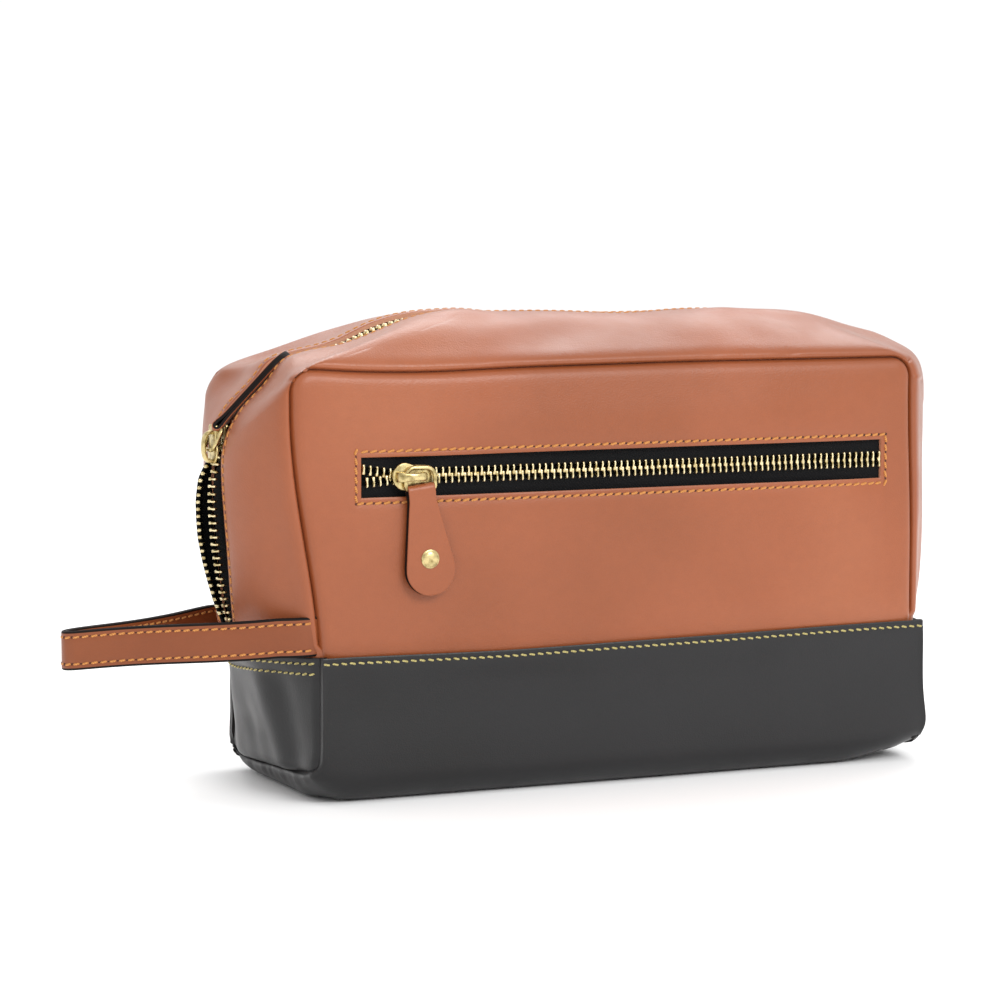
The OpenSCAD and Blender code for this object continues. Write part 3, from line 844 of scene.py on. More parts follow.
def gusset_surface(k, t, us, sign, front):
    """One row across a gusset half, from the seam to the lip."""
    a, seam_out = seam_point(k, t, GUSSET_LOW)
    b, ridge_out = ridge_point(k, t, GUSSET_LOW)
    lip = lip_y(b[1], k)
    row = []
    for u in us:
        share = math.sin(u * math.pi / 2)
        p = mix(a, b, share)
        y = mix(HALF_W, lip, u)
        dist = u * GUSSET_ARC
        out = unit(mix(seam_out, ridge_out, u))
        # the leather swells beside the turned seam, tucks under the black band and rolls over at the lip
        y += 0.9 * math.exp(-((dist - 3.2) / 3.6) ** 2) - 2.5 * math.exp(-((dist / 0.9) ** 1.3))
        y -= 1.5 * math.exp(-dist / 0.4)
        push = gusset_extra(k, t, u, front)
        push += 1.9 * (1 - math.exp(-((dist / 3.2) ** 1.4))) * math.exp(-((dist / 15) ** 2))
        push -= 0.5 * math.exp(-(((1 - u) * 80) ** 1.5))
        push -= 0.2 * math.exp(-(((u - STITCH_SHARE) * 200 / 3) ** 2))
        if not front and k == 0:
            # the back half of the left end lies lower, so the zip's back row stands over it
            push -= 2.2 * float(smooth(0.1, 0.5, u) * smooth(62, 76, b[1]) * smooth(136, 122, b[1]))
        tuck = (0.9 + 2.6 * math.exp(-dist / 2.5)) * float(smooth(59.5, 56.5, b[1]))
        p = p + out * (push - tuck)
        row.append((p[0], sign * y, p[1], *out))
    return row


def lip_wave(grid, half):
    """The two lips don't lie quite level along the top: the front one rolls over in places, so that
    its stitches face the zip, and the back one lies lower except at the left shoulder."""
    x = grid[..., 0]
    share = np.broadcast_to(CROSS, x.shape)
    high = smooth(150, 172, grid[..., 2])
    near = smooth(0.45, 1.0, share) * high
    if half < 0:
        grid[..., 2] += near * (-1.3 * bump(x, 18, 20) - 0.5 * bump(x, -40, 16))
        over = (smooth(44, 64, x) * smooth(142, 128, x) + bump(x, -55, 13)) * high
        grid[..., 2] += over * (1.5 * bump(share, 0.8, 0.13) - 0.7 * smooth(0.87, 0.97, share))
    else:
        low = smooth(-48, -25, x) * smooth(146, 128, x)
        grid[..., 2] += near * (1.0 * bump(x, -84, 10) - 1.8 * low)
    return grid


FRONT_CREASES = (
    # left top corner: two short folds beside a small puff
    ((-135.2, -45.5, 161.0), (-139.5, -38.0, 160.5), 0.8, 1.3),
    ((-130.5, -45.5, 164.5), (-131.5, -39.0, 167.5), 0.8, 1.2),
    # right top corner: a fold up to the outline, and the join across the gusset
    ((129.5, -45.5, 162.5), (139.0, -38.0, 167.0), 0.8, 1.7),
    ((132.5, -45.0, 153.6), (150.0, -26.0, 154.4), 0.6, 1.3),
    ((132.5, -45.0, 155.8), (150.0, -26.0, 156.4), 1.1, -0.7),
    # soft folds beside the long seam
    ((40, -45.0, 164.8), (52, -28, 174.0), 2.2, 0.9),
    ((55, -45.0, 164.8), (63, -31, 172.5), 1.8, 0.8),
    ((74, -45.0, 164.8), (88, -24, 176.0), 2.8, 1.0),
    ((-62, -45.0, 164.0), (-48, -28, 174.0), 3.0, 0.6),
)
BACK_CREASES = (
    ((-134.5, 45.5, 161.5), (-141.0, 34.0, 163.0), 1.0, 1.3),
    ((129.5, 45.5, 162.5), (142.0, 26.0, 167.5), 1.1, 1.6),
    ((-20, 45.0, 164.5), (-8, 27, 174.0), 2.6, 0.9),
    ((30, 45.0, 164.5), (22, 28, 173.5), 2.4, 0.8),
)


def make_gusset(name, sign, half, node):
    front = sign < 0
    turn = 1 if front else -1
    path = stations()
    rows = np.array([gusset_surface(k, t, CROSS, sign, front) for k, t in path])
    outs = np.stack([rows[..., 3], np.zeros(rows.shape[:2]), rows[..., 4]], axis=-1)
    grid = lip_wave(rows[..., :3], sign)
    # the leather runs round the right shoulder in one sweep
    corner = sum(PATH_STEPS[:3])
    weight = smooth(0.03, 0.2, CROSS) * smooth(1.0, 0.85, CROSS)
    for _ in range(60):
        part = grid[corner - 9:corner + 15]
        soft = (part[:-2] + 2 * part[1:-1] + part[2:]) / 4
        part[1:-1] += (soft - part[1:-1]) * weight[:, None]
    for start, end, width, depth in FRONT_CREASES if front else BACK_CREASES:
        grid = crease(grid, grid_normals(grid) * turn, start, end, width, depth)
    grid = settle(grid)
    # the turned seam shows no back of the leather: thin there, and finished on both faces
    skin = mix(0.2, SKIN, smooth(1, 6, FROM_SEAM))
    piece = shell(name, grid, SKIN, TAN_SET, side=turn, inner=grid - outs * skin[:, None], turned_in=9)
    bend(piece, half, "tan_leather", node)

    # stitches beside the lip
    column = int(np.argmin(abs(CROSS - STITCH_SHARE)))
    normals = grid_normals(grid) * turn
    keep = [i for i, (k, t) in enumerate(path) if k not in (0, 4) or grid[i, column, 2] > 63]
    row = stitch_row(name.replace("leather", "stitches"), grid[keep, column], normals[keep, column],
                     TAN_THREAD_SET, slant=9 * turn)
    bend(row, half, "tan_leather")


make_gusset("front_gusset_leather", -1, "front_half", "front_gusset")
make_gusset("back_gusset_leather", 1, "back_half", "back_gusset")


def make_gusset_foot(name, side, node):
    """Backing patch under the zip's foot, seen where the two lips part."""
    rows = []
    for z in np.linspace(46, 67, 9):
        seam = -left_seam_x(z) if side < 0 else right_seam_x(z)
        row = []
        for y in np.linspace(-19, 19, 17):
            out = math.sin((HALF_W - abs(y)) / HALF_W * math.pi / 2)
            row.append((side * (mix(float(seam), float(ridge_x(z, side)), out) - 3.4), y, z))
        rows.append(row)
    foot = shell(name, np.array(rows), 1.2, TAN_SET, side=-side)
    dress(foot, "base", "tan_leather", node)


make_gusset_foot("left_foot_patch", -1, "left_gusset_foot")
make_gusset_foot("right_foot_patch", 1, "right_gusset_foot")


# ---- black base ----------------------------------------------------------------------------------
BASE_R = 11.0
LAP = 0.9
ROLL_R = 10.0
# how far the rows of stitches lie below the black leather's rim
BAND_STITCH, END_STITCH = 2.4, 6.4


def black_edge_x(y, z, side):
    """The black leather's end seam, as a distance from the middle, down to the corner."""
    if side < 0:
        return 125.7 + 0.6 * smooth(24, 10, z) + 1.4 * (1 + y / HALF_W)
    return 136.0 + 1.7 * bump(z, 15, 11)


def end_seam_z(y, side):
    """Height of the seam under an end panel."""
    corner = np.clip((abs(y) - 33) / 13, 0, 1) ** 2
    return 9.7 - 0.055 * y + 0.8 * corner if side < 0 else 6.6 + 1.4 * corner


def front_lift(x):
    """How far the long bottom edges rise towards the end seams."""
    left = 10.0 * np.clip((-x - 105) / 26, 0, 1.05) ** 3
    right = 6.8 * np.clip((x - 100) / 35, 0, 1.05) ** 1.4
    return left + right


def rim_z(x):
    """The black band's upper rim isn't quite level."""
    return BAND_Z - 0.5 - 0.9 * bump(x, -50, 50) + 1.2 * smooth(20, 125, x)


def wrap_profile():
    """The wrap's cross-section from its front rim, under the floor, to its back rim, as (y, z)."""
    rim_marks = (0, -0.25, -0.6, -1.2, -1.9, -2.4, -2.9, -3.6)
    face = lines(BASE_R, BAND_Z, 2.2, [(BAND_Z, rim_marks)])[::-1]
    wall = HALF_W + SKIN + LAP
    half = [(wall, z) for z in face]
    for i in range(1, 10):
        a = i / 9 * math.pi / 2
        half.append((wall - BASE_R + BASE_R * math.cos(a), BASE_R - BASE_R * math.sin(a)))
    half += [((wall - BASE_R) * (1 - i / 16), 0.0) for i in range(1, 17)]
    return [(-y, z) for y, z in half] + [(y, z) for y, z in half[::-1][1:]]


def wrap_relief(x, z, sign):
    """Unevenness of the black band's face, outwards positive."""
    soft = 0.5 * waves(x, z, 31 if sign < 0 else 37, 110)
    dent = -0.9 * bump(x, -112, 9) * bump(z, 40, 16) + 0.5 * bump(x, -119, 6) * bump(z, 28, 20)
    hollow = -0.8 * bump(z, 38, 14)
    return (soft + hollow) * smooth(57, 44, z) + dent


# how far from the middle the wrap's left and right ends reach under the floor
FLOOR_LEFT, FLOOR_RIGHT = 129.9, 137.0
# the wrap's columns: distances from each end seam along the leather, and shares of the stretch between
WRAP_NEAR = np.array([0, 0.35, 0.8, 1.4, 2.2, 3.2, 4.5, 6, 7.7, 9.6, 11.6, 13.6, 15.7])
WRAP_MIDDLE = np.linspace(0, 1, 84)[1:-1]


def wrap_row(y, z):
    """One long row of the wrap at a place in its cross-section."""
    near, middle = WRAP_NEAR, WRAP_MIDDLE
    low = float(smooth(15, 3, z))
    left = -mix(float(black_edge_x(y, z, -1)), FLOOR_LEFT, low)
    right = mix(float(black_edge_x(y, z, 1)), FLOOR_RIGHT, low)
    turn = np.minimum(near / ROLL_R, math.pi / 2)
    inset = ROLL_R * (1 - np.cos(turn)) + np.maximum(near - ROLL_R * math.pi / 2, 0)
    rise = 1 - np.sin(turn)
    # near the seam the leather turns in: sideways on the floor's roll, back on the upright faces
    groove = 2.0 * np.exp(-((near / 1.0) ** 1.4))
    inset = inset + groove * low
    between = mix(left + inset[-1], right - inset[-1], middle)
    xs = np.concatenate([left + inset, between, (right - inset)[::-1]])

    def both_ends(values, inside):
        return np.concatenate([values, np.full(len(middle), inside), values[::-1]])

    rise, away, groove = both_ends(rise, 0.0), both_ends(near, 30.0), both_ends(groove, 0.0)
    side = np.where(xs < 0, -1, 1)
    weight = max(0.0, 1 - z / 22) ** 1.8
    seam = np.where(side < 0, end_seam_z(y, -1), end_seam_z(y, 1))
    edge = smooth(20, 44, abs(y))
    lift = ((seam * rise) ** 6 + (front_lift(xs) * edge) ** 6) ** (1 / 6)
    zz = z + lift * weight
    zz = zz + (rim_z(xs) - BAND_Z) * smooth(30, 57, z)
    # puckers where the rolled floor is gathered into the end seam
    pucker = 0.42 * np.sin(abs(y) * 2.3 + 1.4 * np.sin(y * 0.4)) * np.exp(-((away - 3.6) / 2.6) ** 2) * low
    xs = xs + side * pucker
    facing = min(1.0, z / BASE_R)
    yy = abs(y) + wrap_relief(xs, z, np.sign(y)) * facing * np.clip(away / 12, 0, 1) - 1.3 * groove * facing
    swell = np.where((side < 0) & (y > 0), 1.5, 0.6)
    yy = yy + swell * np.exp(-((away - 3.0) / 2.4) ** 2) * facing * smooth(57, 48, z)
    yy = yy - 0.22 * lift * bump(z, 4, 8)
    rim = BAND_Z - z
    yy = yy - 0.28 * math.exp(-(rim / 0.25) ** 1.2) - 0.20 * math.exp(-((rim - BAND_STITCH) / 0.55) ** 2)
    return np.column_stack([xs, np.sign(y) * yy, zz])


def make_wrap():
    profile = wrap_profile()
    grid = np.array([wrap_row(y, z) for y, z in profile])
    wrap = shell("base_wrap_leather", grid, SKIN, BLACK_SET, side=1)
    dress(wrap, "base", "black_leather", "base_wrap")
    normals = grid_normals(grid)
    for name, sign in (("front_band_stitches", -1), ("back_band_stitches", 1)):
        off = [abs(z - (BAND_Z - BAND_STITCH)) if y * sign > 0 else math.inf for y, z in profile]
        r = int(np.argmin(off))
        row = stitch_row(name, grid[r, 4:-4], normals[r, 4:-4], PALE_THREAD_SET, slant=13 * sign, radius=0.40)
        dress(row, "base", "black_leather")


make_wrap()


def end_bulge(z, side):
    """How far the middle of an end panel stands out from its seams."""
    out = (1.8, 3.6, 6.8, 10.0, 12.2, 16.4) if side < 0 else (1.8, 3.4, 5.2, 6.6, 8.0, 11.6)
    return np.interp(z, (6, 12, 20, 35, 50, BAND_Z), out)


def end_face(y, z, side):
    """Distance of a black end panel's outer face from the bag's middle."""
    seam = float(black_edge_x(y, z, side)) + 0.2
    low = float(smooth(20, 8, z))
    seam = mix(seam, 129.6 if side < 0 else 136.6, low * 0.8)
    wide = math.sin(min(1.0, (HALF_W - abs(y)) / (HALF_W - 3.0)) * math.pi / 2)
    round_ = math.sin((HALF_W - abs(y)) / HALF_W * math.pi / 2)
    puff = mix(round_, wide, float(smooth(46, 57, z)))
    fade = float(smooth(57, 44, z)) * min(1, (HALF_W - abs(y)) / 6)
    soft = 1.3 * bump(y, -12 - (57 - z) * 0.25, 7) - 1.5 * bump(y, -25 - (57 - z) * 0.15, 6)
    soft += 0.9 * bump(y, 16 + (57 - z) * 0.2, 8) - 0.8 * bump(y, 2, 6) * bump(z, 25, 14)
    fall = 2.2 * math.exp(-((HALF_W - abs(y)) / 1.1) ** 1.4)
    fall += 1.8 * float(smooth(26, 44, y) * smooth(52, 34, z))
    fall += 2.2 * math.exp(-(max(0.0, z - float(end_seam_z(y, side))) / 1.2) ** 1.4)
    return seam + LAP + float(end_bulge(z, side)) * puff + float(soft) * fade - fall


def make_end(name, side, node):
    corner = (0, 0.3, 0.8, 1.4, 2.2, 3.5)
    ys = lines(-HALF_W, HALF_W, 2.2, [(-HALF_W, corner), (HALF_W, [-c for c in corner])])
    rim_marks = (0, -0.006, -0.014, -0.028, -0.042, -0.052, -0.066, -0.12, -0.135, -0.15)
    shares = lines(0, 1, 0.04, [(0, (0, 0.008, 0.018, 0.032, 0.055)), (1, rim_marks)])
    rows = []
    for share in shares:
        row = []
        for y in ys:
            sag = 1.4 * (1 - (abs(y) / HALF_W) ** 2) + 0.5
            high = BAND_Z - sag
            z = mix(float(end_seam_z(y, side)), high, share)
            rim = high - z
            x = end_face(y, z + sag * share, side) - 0.28 * math.exp(-(rim / 0.25) ** 1.2)
            x -= 0.18 * sum(math.exp(-((rim - drop) / 0.55) ** 2) for drop in (BAND_STITCH, END_STITCH))
            row.append((side * x, y, z))
        rows.append(row)
    grid = np.array(rows)
    piece = shell(name, grid, SKIN, BLACK_SET, side=-side)
    dress(piece, "base", "black_leather", node)
    normals = grid_normals(grid) * -side
    for n, drop in enumerate((BAND_STITCH, END_STITCH)):
        points, outs = [], []
        for j in range(3, len(ys) - 3):
            z_column = grid[:, j, 2]
            target = z_column[-1] - drop - (2.0 * float(bump(ys[j], 16, 22)) if side < 0 else 0.0)
            points.append([np.interp(target, z_column, grid[:, j, c]) for c in range(3)])
            outs.append([np.interp(target, z_column, normals[:, j, c]) for c in range(3)])
        row = stitch_row(f"{name.replace('leather', 'stitches')}_{n + 1}", points, outs, PALE_THREAD_SET,
                         slant=-13 * side, radius=0.40)
        dress(row, "base", "black_leather")


make_end("left_end_leather", -1, "left_end_base")
make_end("right_end_leather", 1, "right_end_base")


# ---- zips ----------------------------------------------------------------------------------------
def tooth_base(reach):
    """One tooth: X along the zip, Y from the tape towards the middle, Z outwards."""
    spots = [(-3.2, 0.30, 0.80), (-3.05, 0.46, 1.10), (-2.3, 0.50, 1.24), (-1.5, 0.48, 1.20),
             (-1.0, 0.42, 1.05), (reach - 1.1, 0.62, 1.12), (reach - 0.4, 0.66, 1.06), (reach, 0.40, 0.6)]
    c, s = squarish((np.arange(8) + 0.5) * math.tau / 8, 0.6)
    return loft([np.column_stack([hx * c, np.full(8, y), hz * s])[::-1] for y, hx, hz in spots])


TOOTH_PITCH = 2.67


def teeth_row(name, centre, out, sign, phase, part):
    """Row of teeth along a path. centre is the chain's middle line and out its outward direction;
    sign is the side of the zip. part gives each tooth its distance from the middle, how far it
    stands out and its lean."""
    length = path_length(centre)[-1]
    count = max(1, int((length - phase) / TOOTH_PITCH))
    at = phase + np.arange(count + 1) * (length - phase) / count
    rng = random.Random(5)
    places = []
    for here, x, z in zip(*walk(centre, out, at, 0.5)):
        z = unit(z - x * (z @ x))
        across = np.cross(z, x) * sign
        aside, stand, lean = part(here)
        origin = here - across * aside + z * stand
        c, d = math.cos(lean), math.sin(lean)
        across, z = across * c + z * d, z * c - across * d
        a = math.radians(rng.uniform(-2.5, 2.5))
        xx, yy = x * math.cos(a) + across * math.sin(a), across * math.cos(a) - x * math.sin(a)
        places.append((origin, np.array([xx * sign, yy, z])))
    return copies(name, tooth_base(0.85), places, [TOOTH_BRASS])


def main_parting(x, z):
    """Half the gap between the rows, and how far they stand out as a share, where the zip is open
    below the slider on the left end."""
    if x > 0 or z >= 136:
        return 0.0, 0.0
    gap = np.interp(z, (66, 68, 74.5, 82, 90, 98, 105, 113, 121, 128, 134, 137),
                    (2.6, 3.2, 4.4, 5.4, 6.3, 6.8, 6.8, 6.2, 5.2, 3.4, 0.8, 0.0))
    stand = np.interp(z, (66, 74, 82, 90, 98, 112, 121, 128, 134),
                      (0.5, 0.65, 0.8, 0.95, 1.05, 1.05, 0.9, 0.5, 0.0))
    return float(gap), float(stand)


def chain_rise(x, k):
    """The chain rides up a little at the left shoulder."""
    return 1.5 * float(bump(x, -84, 12)) if k == 1 else 0.0


def main_zip_path(cut, low):
    """Middle line of the main zip at a depth, with outward directions."""
    pts, outs = [], []
    for k, t in stations((40, 50, 50, 34, 34)):
        p, out = ridge_point(k, t, low, cut)
        p = p + out * chain_rise(p[0], k)
        pts.append((p[0], 0.0, p[1]))
        outs.append((out[0], 0.0, out[1]))
    return np.array(pts), np.array(outs)


TEETH_STAND = 5.8
TEETH_LEAN = math.radians(26)
TAPE_T = 0.6
# heights of the main zip's feet
TAPE_LOW, TEETH_LOW = 63.5, 67.5


def main_tooth(point):
    gap, stand = main_parting(point[0], point[2])
    return gap + 0.6 * stand, TEETH_STAND * stand, TEETH_LEAN * stand


def main_tape_row(k, t, sign):
    """One row across a main tape, from the teeth to under the lip."""
    edge, out = ridge_point(k, t, TAPE_LOW)
    gap, stand = main_parting(*edge)
    lip = lip_y(edge[1], k)
    gap = min(gap, max(0.0, lip - 2.2))
    rise = chain_rise(edge[0], k)
    start = mix(0.04, 2.0 + gap + 0.3 * stand, min(1.0, gap / 1.5))
    reach = max(min(11.4, max(lip + 2.2, gap + 5.5)), start + 2.5)
    row = []
    for w in (0.0, 0.06, 0.12, 0.18, 0.26, 0.38, 0.52, 0.68, 0.84, 1.0):
        cord = 0.55 * math.exp(-((w - 0.09) / 0.06) ** 2)
        free = 1 - float(smooth(0.0, 0.75, w))
        bow = (3.4 if sign > 0 else 0.9) * math.exp(-((w - 0.36) / 0.26) ** 2)
        lifted = (TEETH_STAND - 1.4 * (1 - w)) * stand * free + bow * stand + rise * free
        p = edge - out * (CHAIN_IN + 1.35 - cord + 0.35 * w - lifted)
        row.append((p[0], sign * mix(start, reach, w), p[1]))
    return row


def make_main_zip():
    centre, outs = main_zip_path(CHAIN_IN + CHAIN_T / 2, TEETH_LOW)
    for end, sign, phase in (("front", -1, 0.2), ("back", 1, 0.2 + TOOTH_PITCH / 2)):
        row = teeth_row(f"main_teeth_{end}_row", centre, outs, -sign, phase, main_tooth)
        bend(row, f"{end}_half", "antique_brass", f"main_teeth_{end}")
    for end, sign in (("front", -1), ("back", 1)):
        rows = [main_tape_row(k, t, sign) for k, t in stations((50, 54, 56, 36, 40))]
        piece = shell(f"main_tape_{end}_cloth", np.array(rows), TAPE_T, [TAPE] * 3, side=sign)
        bend(piece, f"{end}_half", "zip_tape", f"main_tape_{end}")


make_main_zip()


def stop_block(size, centre, x_axis, z_axis):
    """Small bent-metal stop: a rounded block clamped round the tape."""
    l, w, h = size
    r = min(l, w) * 0.3
    block = plate(rounded_box(l / 2, -w / 2, w / 2, r, r, 30), -h / 2, h / 2, min(0.35, h * 0.3), dome=0.12)
    return placed(block, axes_matrix(centre, x_axis, np.cross(z_axis, x_axis), z_axis))


def node_centre(node):
    low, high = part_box(node)
    return (np.array(low) + np.array(high)) / 2 / MM


def make_stop(name, body, node, blocks):
    dress(solid(name, join(*blocks), [BRASS]), body, "antique_brass", node)


def make_stops():
    """A pair of stops at the open end of each zip and a bar at its closed end."""
    up, left, right, front = (0, 0, 1), (-1, 0, 0), (1, 0, 0), (0, -1, 0)
    foot = np.array([-(float(ridge_x(66.5)) - 2.4), 0, 66.0])
    make_stop("left_zip_stop_pair", "base", "left_zip_stops",
              [stop_block((3.0, 2.4, 1.6), foot + [0, s * 2.6, 0], up, left) for s in (-1, 1)])
    foot = np.array([float(ridge_x(66.5, 1)) - 2.4, 0, 66.0])
    make_stop("right_zip_stop_bar", "base", "right_zip_stop", [stop_block((3.0, 6.0, 1.6), foot, up, right)])
    centre = node_centre("pocket_stops_left")
    make_stop("pocket_stop_pair", "front_half", "pocket_stops_left",
              [stop_block((2.6, 2.2, 1.4), centre + [-3.4, 1.7, s * 2.6], right, front) for s in (-1, 1)])
    centre = node_centre("pocket_stop_right")
    make_stop("pocket_stop_bar", "front_half", "pocket_stop_right",
              [stop_block((2.6, 6.0, 1.4), centre + [3.4, 1.7, 0], right, front)])


make_stops()

POCKET_Y = -(HALF_W + 0.4)
POCKET_SLIDER = node_centre("pocket_slider_body")


def pocket_parting(sign):
    """The last few teeth left of the pocket slider stand apart, the upper row more."""
    def part(point):
        gap = max(0.0, POCKET_SLIDER[0] - 8.5 - point[0])
        return (0.16 if sign > 0 else 0.07) * min(gap, 14.0), 0.0, 0.0
    return part


def make_pocket_zip():
    x0, x1 = WINDOW[0] + 1.0, WINDOW[1] - 1.0
    xs = np.linspace(x0, x1, 80)
    centre = np.column_stack([xs, np.full(80, POCKET_Y), np.full(80, WINDOW_Z)])
    out = np.tile([0.0, -1.0, 0.0], (80, 1))
    # teeth_row counts up as across here, so the upper row, whose teeth point down, gets sign -1
    for level, sign, phase in (("upper", 1, 0.0), ("lower", -1, TOOTH_PITCH / 2)):
        row = teeth_row(f"pocket_teeth_{level}_row", centre, out, -sign, phase, pocket_parting(sign))
        dress(row, "front_half", "antique_brass", f"pocket_teeth_{level}")
    for level, sign in (("upper", 1), ("lower", -1)):
        rows = []
        for x in np.linspace(WINDOW[0] - 2.5, WINDOW[1] + 2.5, 90):
            part = pocket_parting(sign)((x, 0, 0))[0]
            row = []
            for w in (0.0, 0.5, 1.0, 1.4, 2.0, 3.0, 4.3, 5.6, 7.4, 8.6):
                z = 2.3 + w + part * max(0, 1 - w / 9)
                cord = 0.6 * math.exp(-((w - 0.7) / 0.5) ** 2)
                sag = 0.25 * math.sin(x * 0.09) * math.exp(-((w - 4) / 2) ** 2)
                row.append((x, -(HALF_W - 0.35 + cord + sag), WINDOW_Z + sign * z))
            rows.append(row)
        piece = shell(f"pocket_tape_{level}_cloth", np.array(rows), TAPE_T, [TAPE] * 3, side=sign)
        dress(piece, "front_half", "zip_tape", f"pocket_tape_{level}")


make_pocket_zip()


# ---- sliders, rings and pulls --------------------------------------------------------------------
SLIDER_NOSE = (-8.9, 0.0), (-8.7, 1.5), (-8.0, 3.0), (-6.8, 4.3), (-5.2, 5.1), (-3.5, 5.25), (-1.9, 4.8)
SLIDER_TAIL = (-0.4, 4.25), (1.6, 4.0), (4.4, 4.0), (6.1, 3.95), (6.8, 3.5), (7.0, 2.5), (7.0, 0.0)


def slider_outline():
    """Slider seen from above: a broad round nose at -X, then a narrower squared tail at +X."""
    half = list(SLIDER_NOSE + SLIDER_TAIL)
    return np.array(half[::-1] + [(x, -y) for x, y in half[1:-1]])


def slider_parts():
    top = plate(slider_outline(), 1.5, 2.9, 0.45, dome=0.3)
    low = plate(slider_outline() * [1, 0.9], -2.9, -1.5, 0.42)
    post = plate([(-5.6, 0.34), (-7.8, 0.34), (-7.8, -0.34), (-5.6, -0.34)], -2.2, 2.2, 0.1)
    parts = [top, low, post]
    side = np.array([(6.2, 3.5), (6.2, 4.05), (-0.5, 4.25), (-0.5, 3.75)])
    for edges in ((0.55, 2.2), (-2.2, -0.55)):
        v, faces, kinds = plate(side, *edges, 0.2)
        parts.append((v, faces, kinds))
        parts.append((v * [1, -1, 1], [face[::-1] for face in faces], kinds))
    return join(*parts)


def bridge_part():
    """The thick arched crown along the slider's top, fatter towards the nose."""
    half_long, high = 5.6, 3.9
    rings = []
    for t in np.linspace(0, 1, 21):
        a = math.pi * t
        x = -1.6 - half_long * math.cos(a)
        z = 2.4 + high * math.sin(a) ** 0.5
        rise = high * 0.5 * math.cos(a) * max(0.12, math.sin(a)) ** -0.5
        tangent = unit(np.array([half_long * math.sin(a), 0, rise]))
        side = np.array([0.0, 1.0, 0.0])
        out = np.cross(side, tangent)
        wide = mix(1.75, 1.25, t) + 0.3 * abs(math.cos(a))
        c, s = squarish(np.arange(14) * math.tau / 14, 0.75)
        rings.append(np.array([x, 0, z]) + wide * c[:, None] * side + 0.78 * s[:, None] * out)
    return loft(rings)


def ring_part(half_wide, low, high, wire):
    """Wire ring in the XY plane, rounder at the top than at the tab's bar."""
    points = [(x, y, 0) for x, y in rounded_box(half_wide, low, high, 2.0, 3.6, 10)]
    return wire_loop(points, wire / 2, 14)


TAB_L, TAB_W, TAB_T, NECK_W = 42.0, 20.0, 3.0, 11.0
TAB_ROUND_Y = -TAB_L + TAB_W / 2 + TAB_T / 2
# where the tab's flare starts, and how much fatter its half is where it folds over the ring's bar
NECK_Y, FOLD_FAT = -4.0, 0.55


def tab_half_width(y):
    """Half the tab's width at a place along it: a straight flare into the round end."""
    r, neck = TAB_W / 2, NECK_W / 2
    run = math.hypot(neck, NECK_Y - TAB_ROUND_Y)
    touch = math.atan2(NECK_Y - TAB_ROUND_Y, neck) - math.acos(min(1, r / run))
    touch_y = TAB_ROUND_Y + r * math.sin(touch)
    if y >= NECK_Y:
        return neck
    if y >= touch_y:
        return mix(neck, r * math.cos(touch), (NECK_Y - y) / (NECK_Y - touch_y))
    return math.sqrt(max(0.0, r * r - (y - TAB_ROUND_Y) ** 2))


def tab_parts():
    """Leather folded over the ring's bar, glued, with painted edges."""
    bottom = TAB_ROUND_Y - TAB_W / 2 + 0.05
    down = [-1.2, -2.5, NECK_Y] + list(np.linspace(NECK_Y, TAB_ROUND_Y, 14)[1:])
    down += [TAB_ROUND_Y + (bottom - TAB_ROUND_Y) * math.sin(a) for a in np.linspace(0, math.pi / 2, 16)[1:]]
    fold_r = TAB_T / 2 + FOLD_FAT
    line = [(y, TAB_T / 2 + FOLD_FAT * math.exp((y + 1.2) / 2.2)) for y in down[::-1]]
    line += [(fold_r * math.sin(a) * 1.1 + 0.1, fold_r * math.cos(a))
             for a in np.linspace(-0.35, math.pi + 0.35, 15)]
    line += [(y, -TAB_T / 2 - FOLD_FAT * math.exp((y + 1.2) / 2.2)) for y in down]
    spread = np.array([-1, -0.985, -0.955, -0.9, -0.7, -0.35, 0, 0.35, 0.7, 0.9, 0.955, 0.985, 1])
    fall = np.interp(abs(spread), (0.9, 0.955, 0.985, 1), (0, 0.05, 0.16, 0.4))
    path = np.array(line)
    along = unit(np.gradient(path, axis=0))
    out = np.column_stack([along[:, 1], -along[:, 0]]) * -1
    outer, inner = [], []
    for (y, z), o in zip(path, out):
        wide = tab_half_width(min(y, -1.0))
        end = 0.4 * max(0.0, 1 - (y - bottom) / 0.6) if y < bottom + 0.6 else 0.0
        x = wide * spread
        drop = fall + end
        outer.append(np.column_stack([x, y - o[0] * drop, z - o[1] * drop]))
        deep = TAB_T / 2 - 0.05
        inner.append(np.column_stack([x, np.full(len(x), y - o[0] * deep), np.full(len(x), z - o[1] * deep)]))
    return np.array(outer), np.array(inner)


RIVET_Y = TAB_ROUND_Y + 4.2


def rivet_parts():
    """Domed rivet head with a thin rim, and its washer behind."""
    a = np.arange(40) * math.tau / 40

    def ring(r, z):
        return np.column_stack([r * np.cos(a), RIVET_Y + r * np.sin(a), np.full(40, z)])

    top = TAB_T / 2 + 0.1
    head = ((3.3, -0.25), (3.62, -0.05), (3.66, 0.15), (3.45, 0.32), (3.22, 0.38), (3.02, 0.56), (2.6, 0.82),
            (2.0, 1.04), (1.3, 1.18), (0.5, 1.24))
    washer = ((0.8, -0.4), (2.7, -0.36), (3.0, -0.15), (2.9, 0.1))
    return join(loft([ring(r, top + z) for r, z in head]), loft([ring(r, -TAB_T / 2 + z) for r, z in washer]))


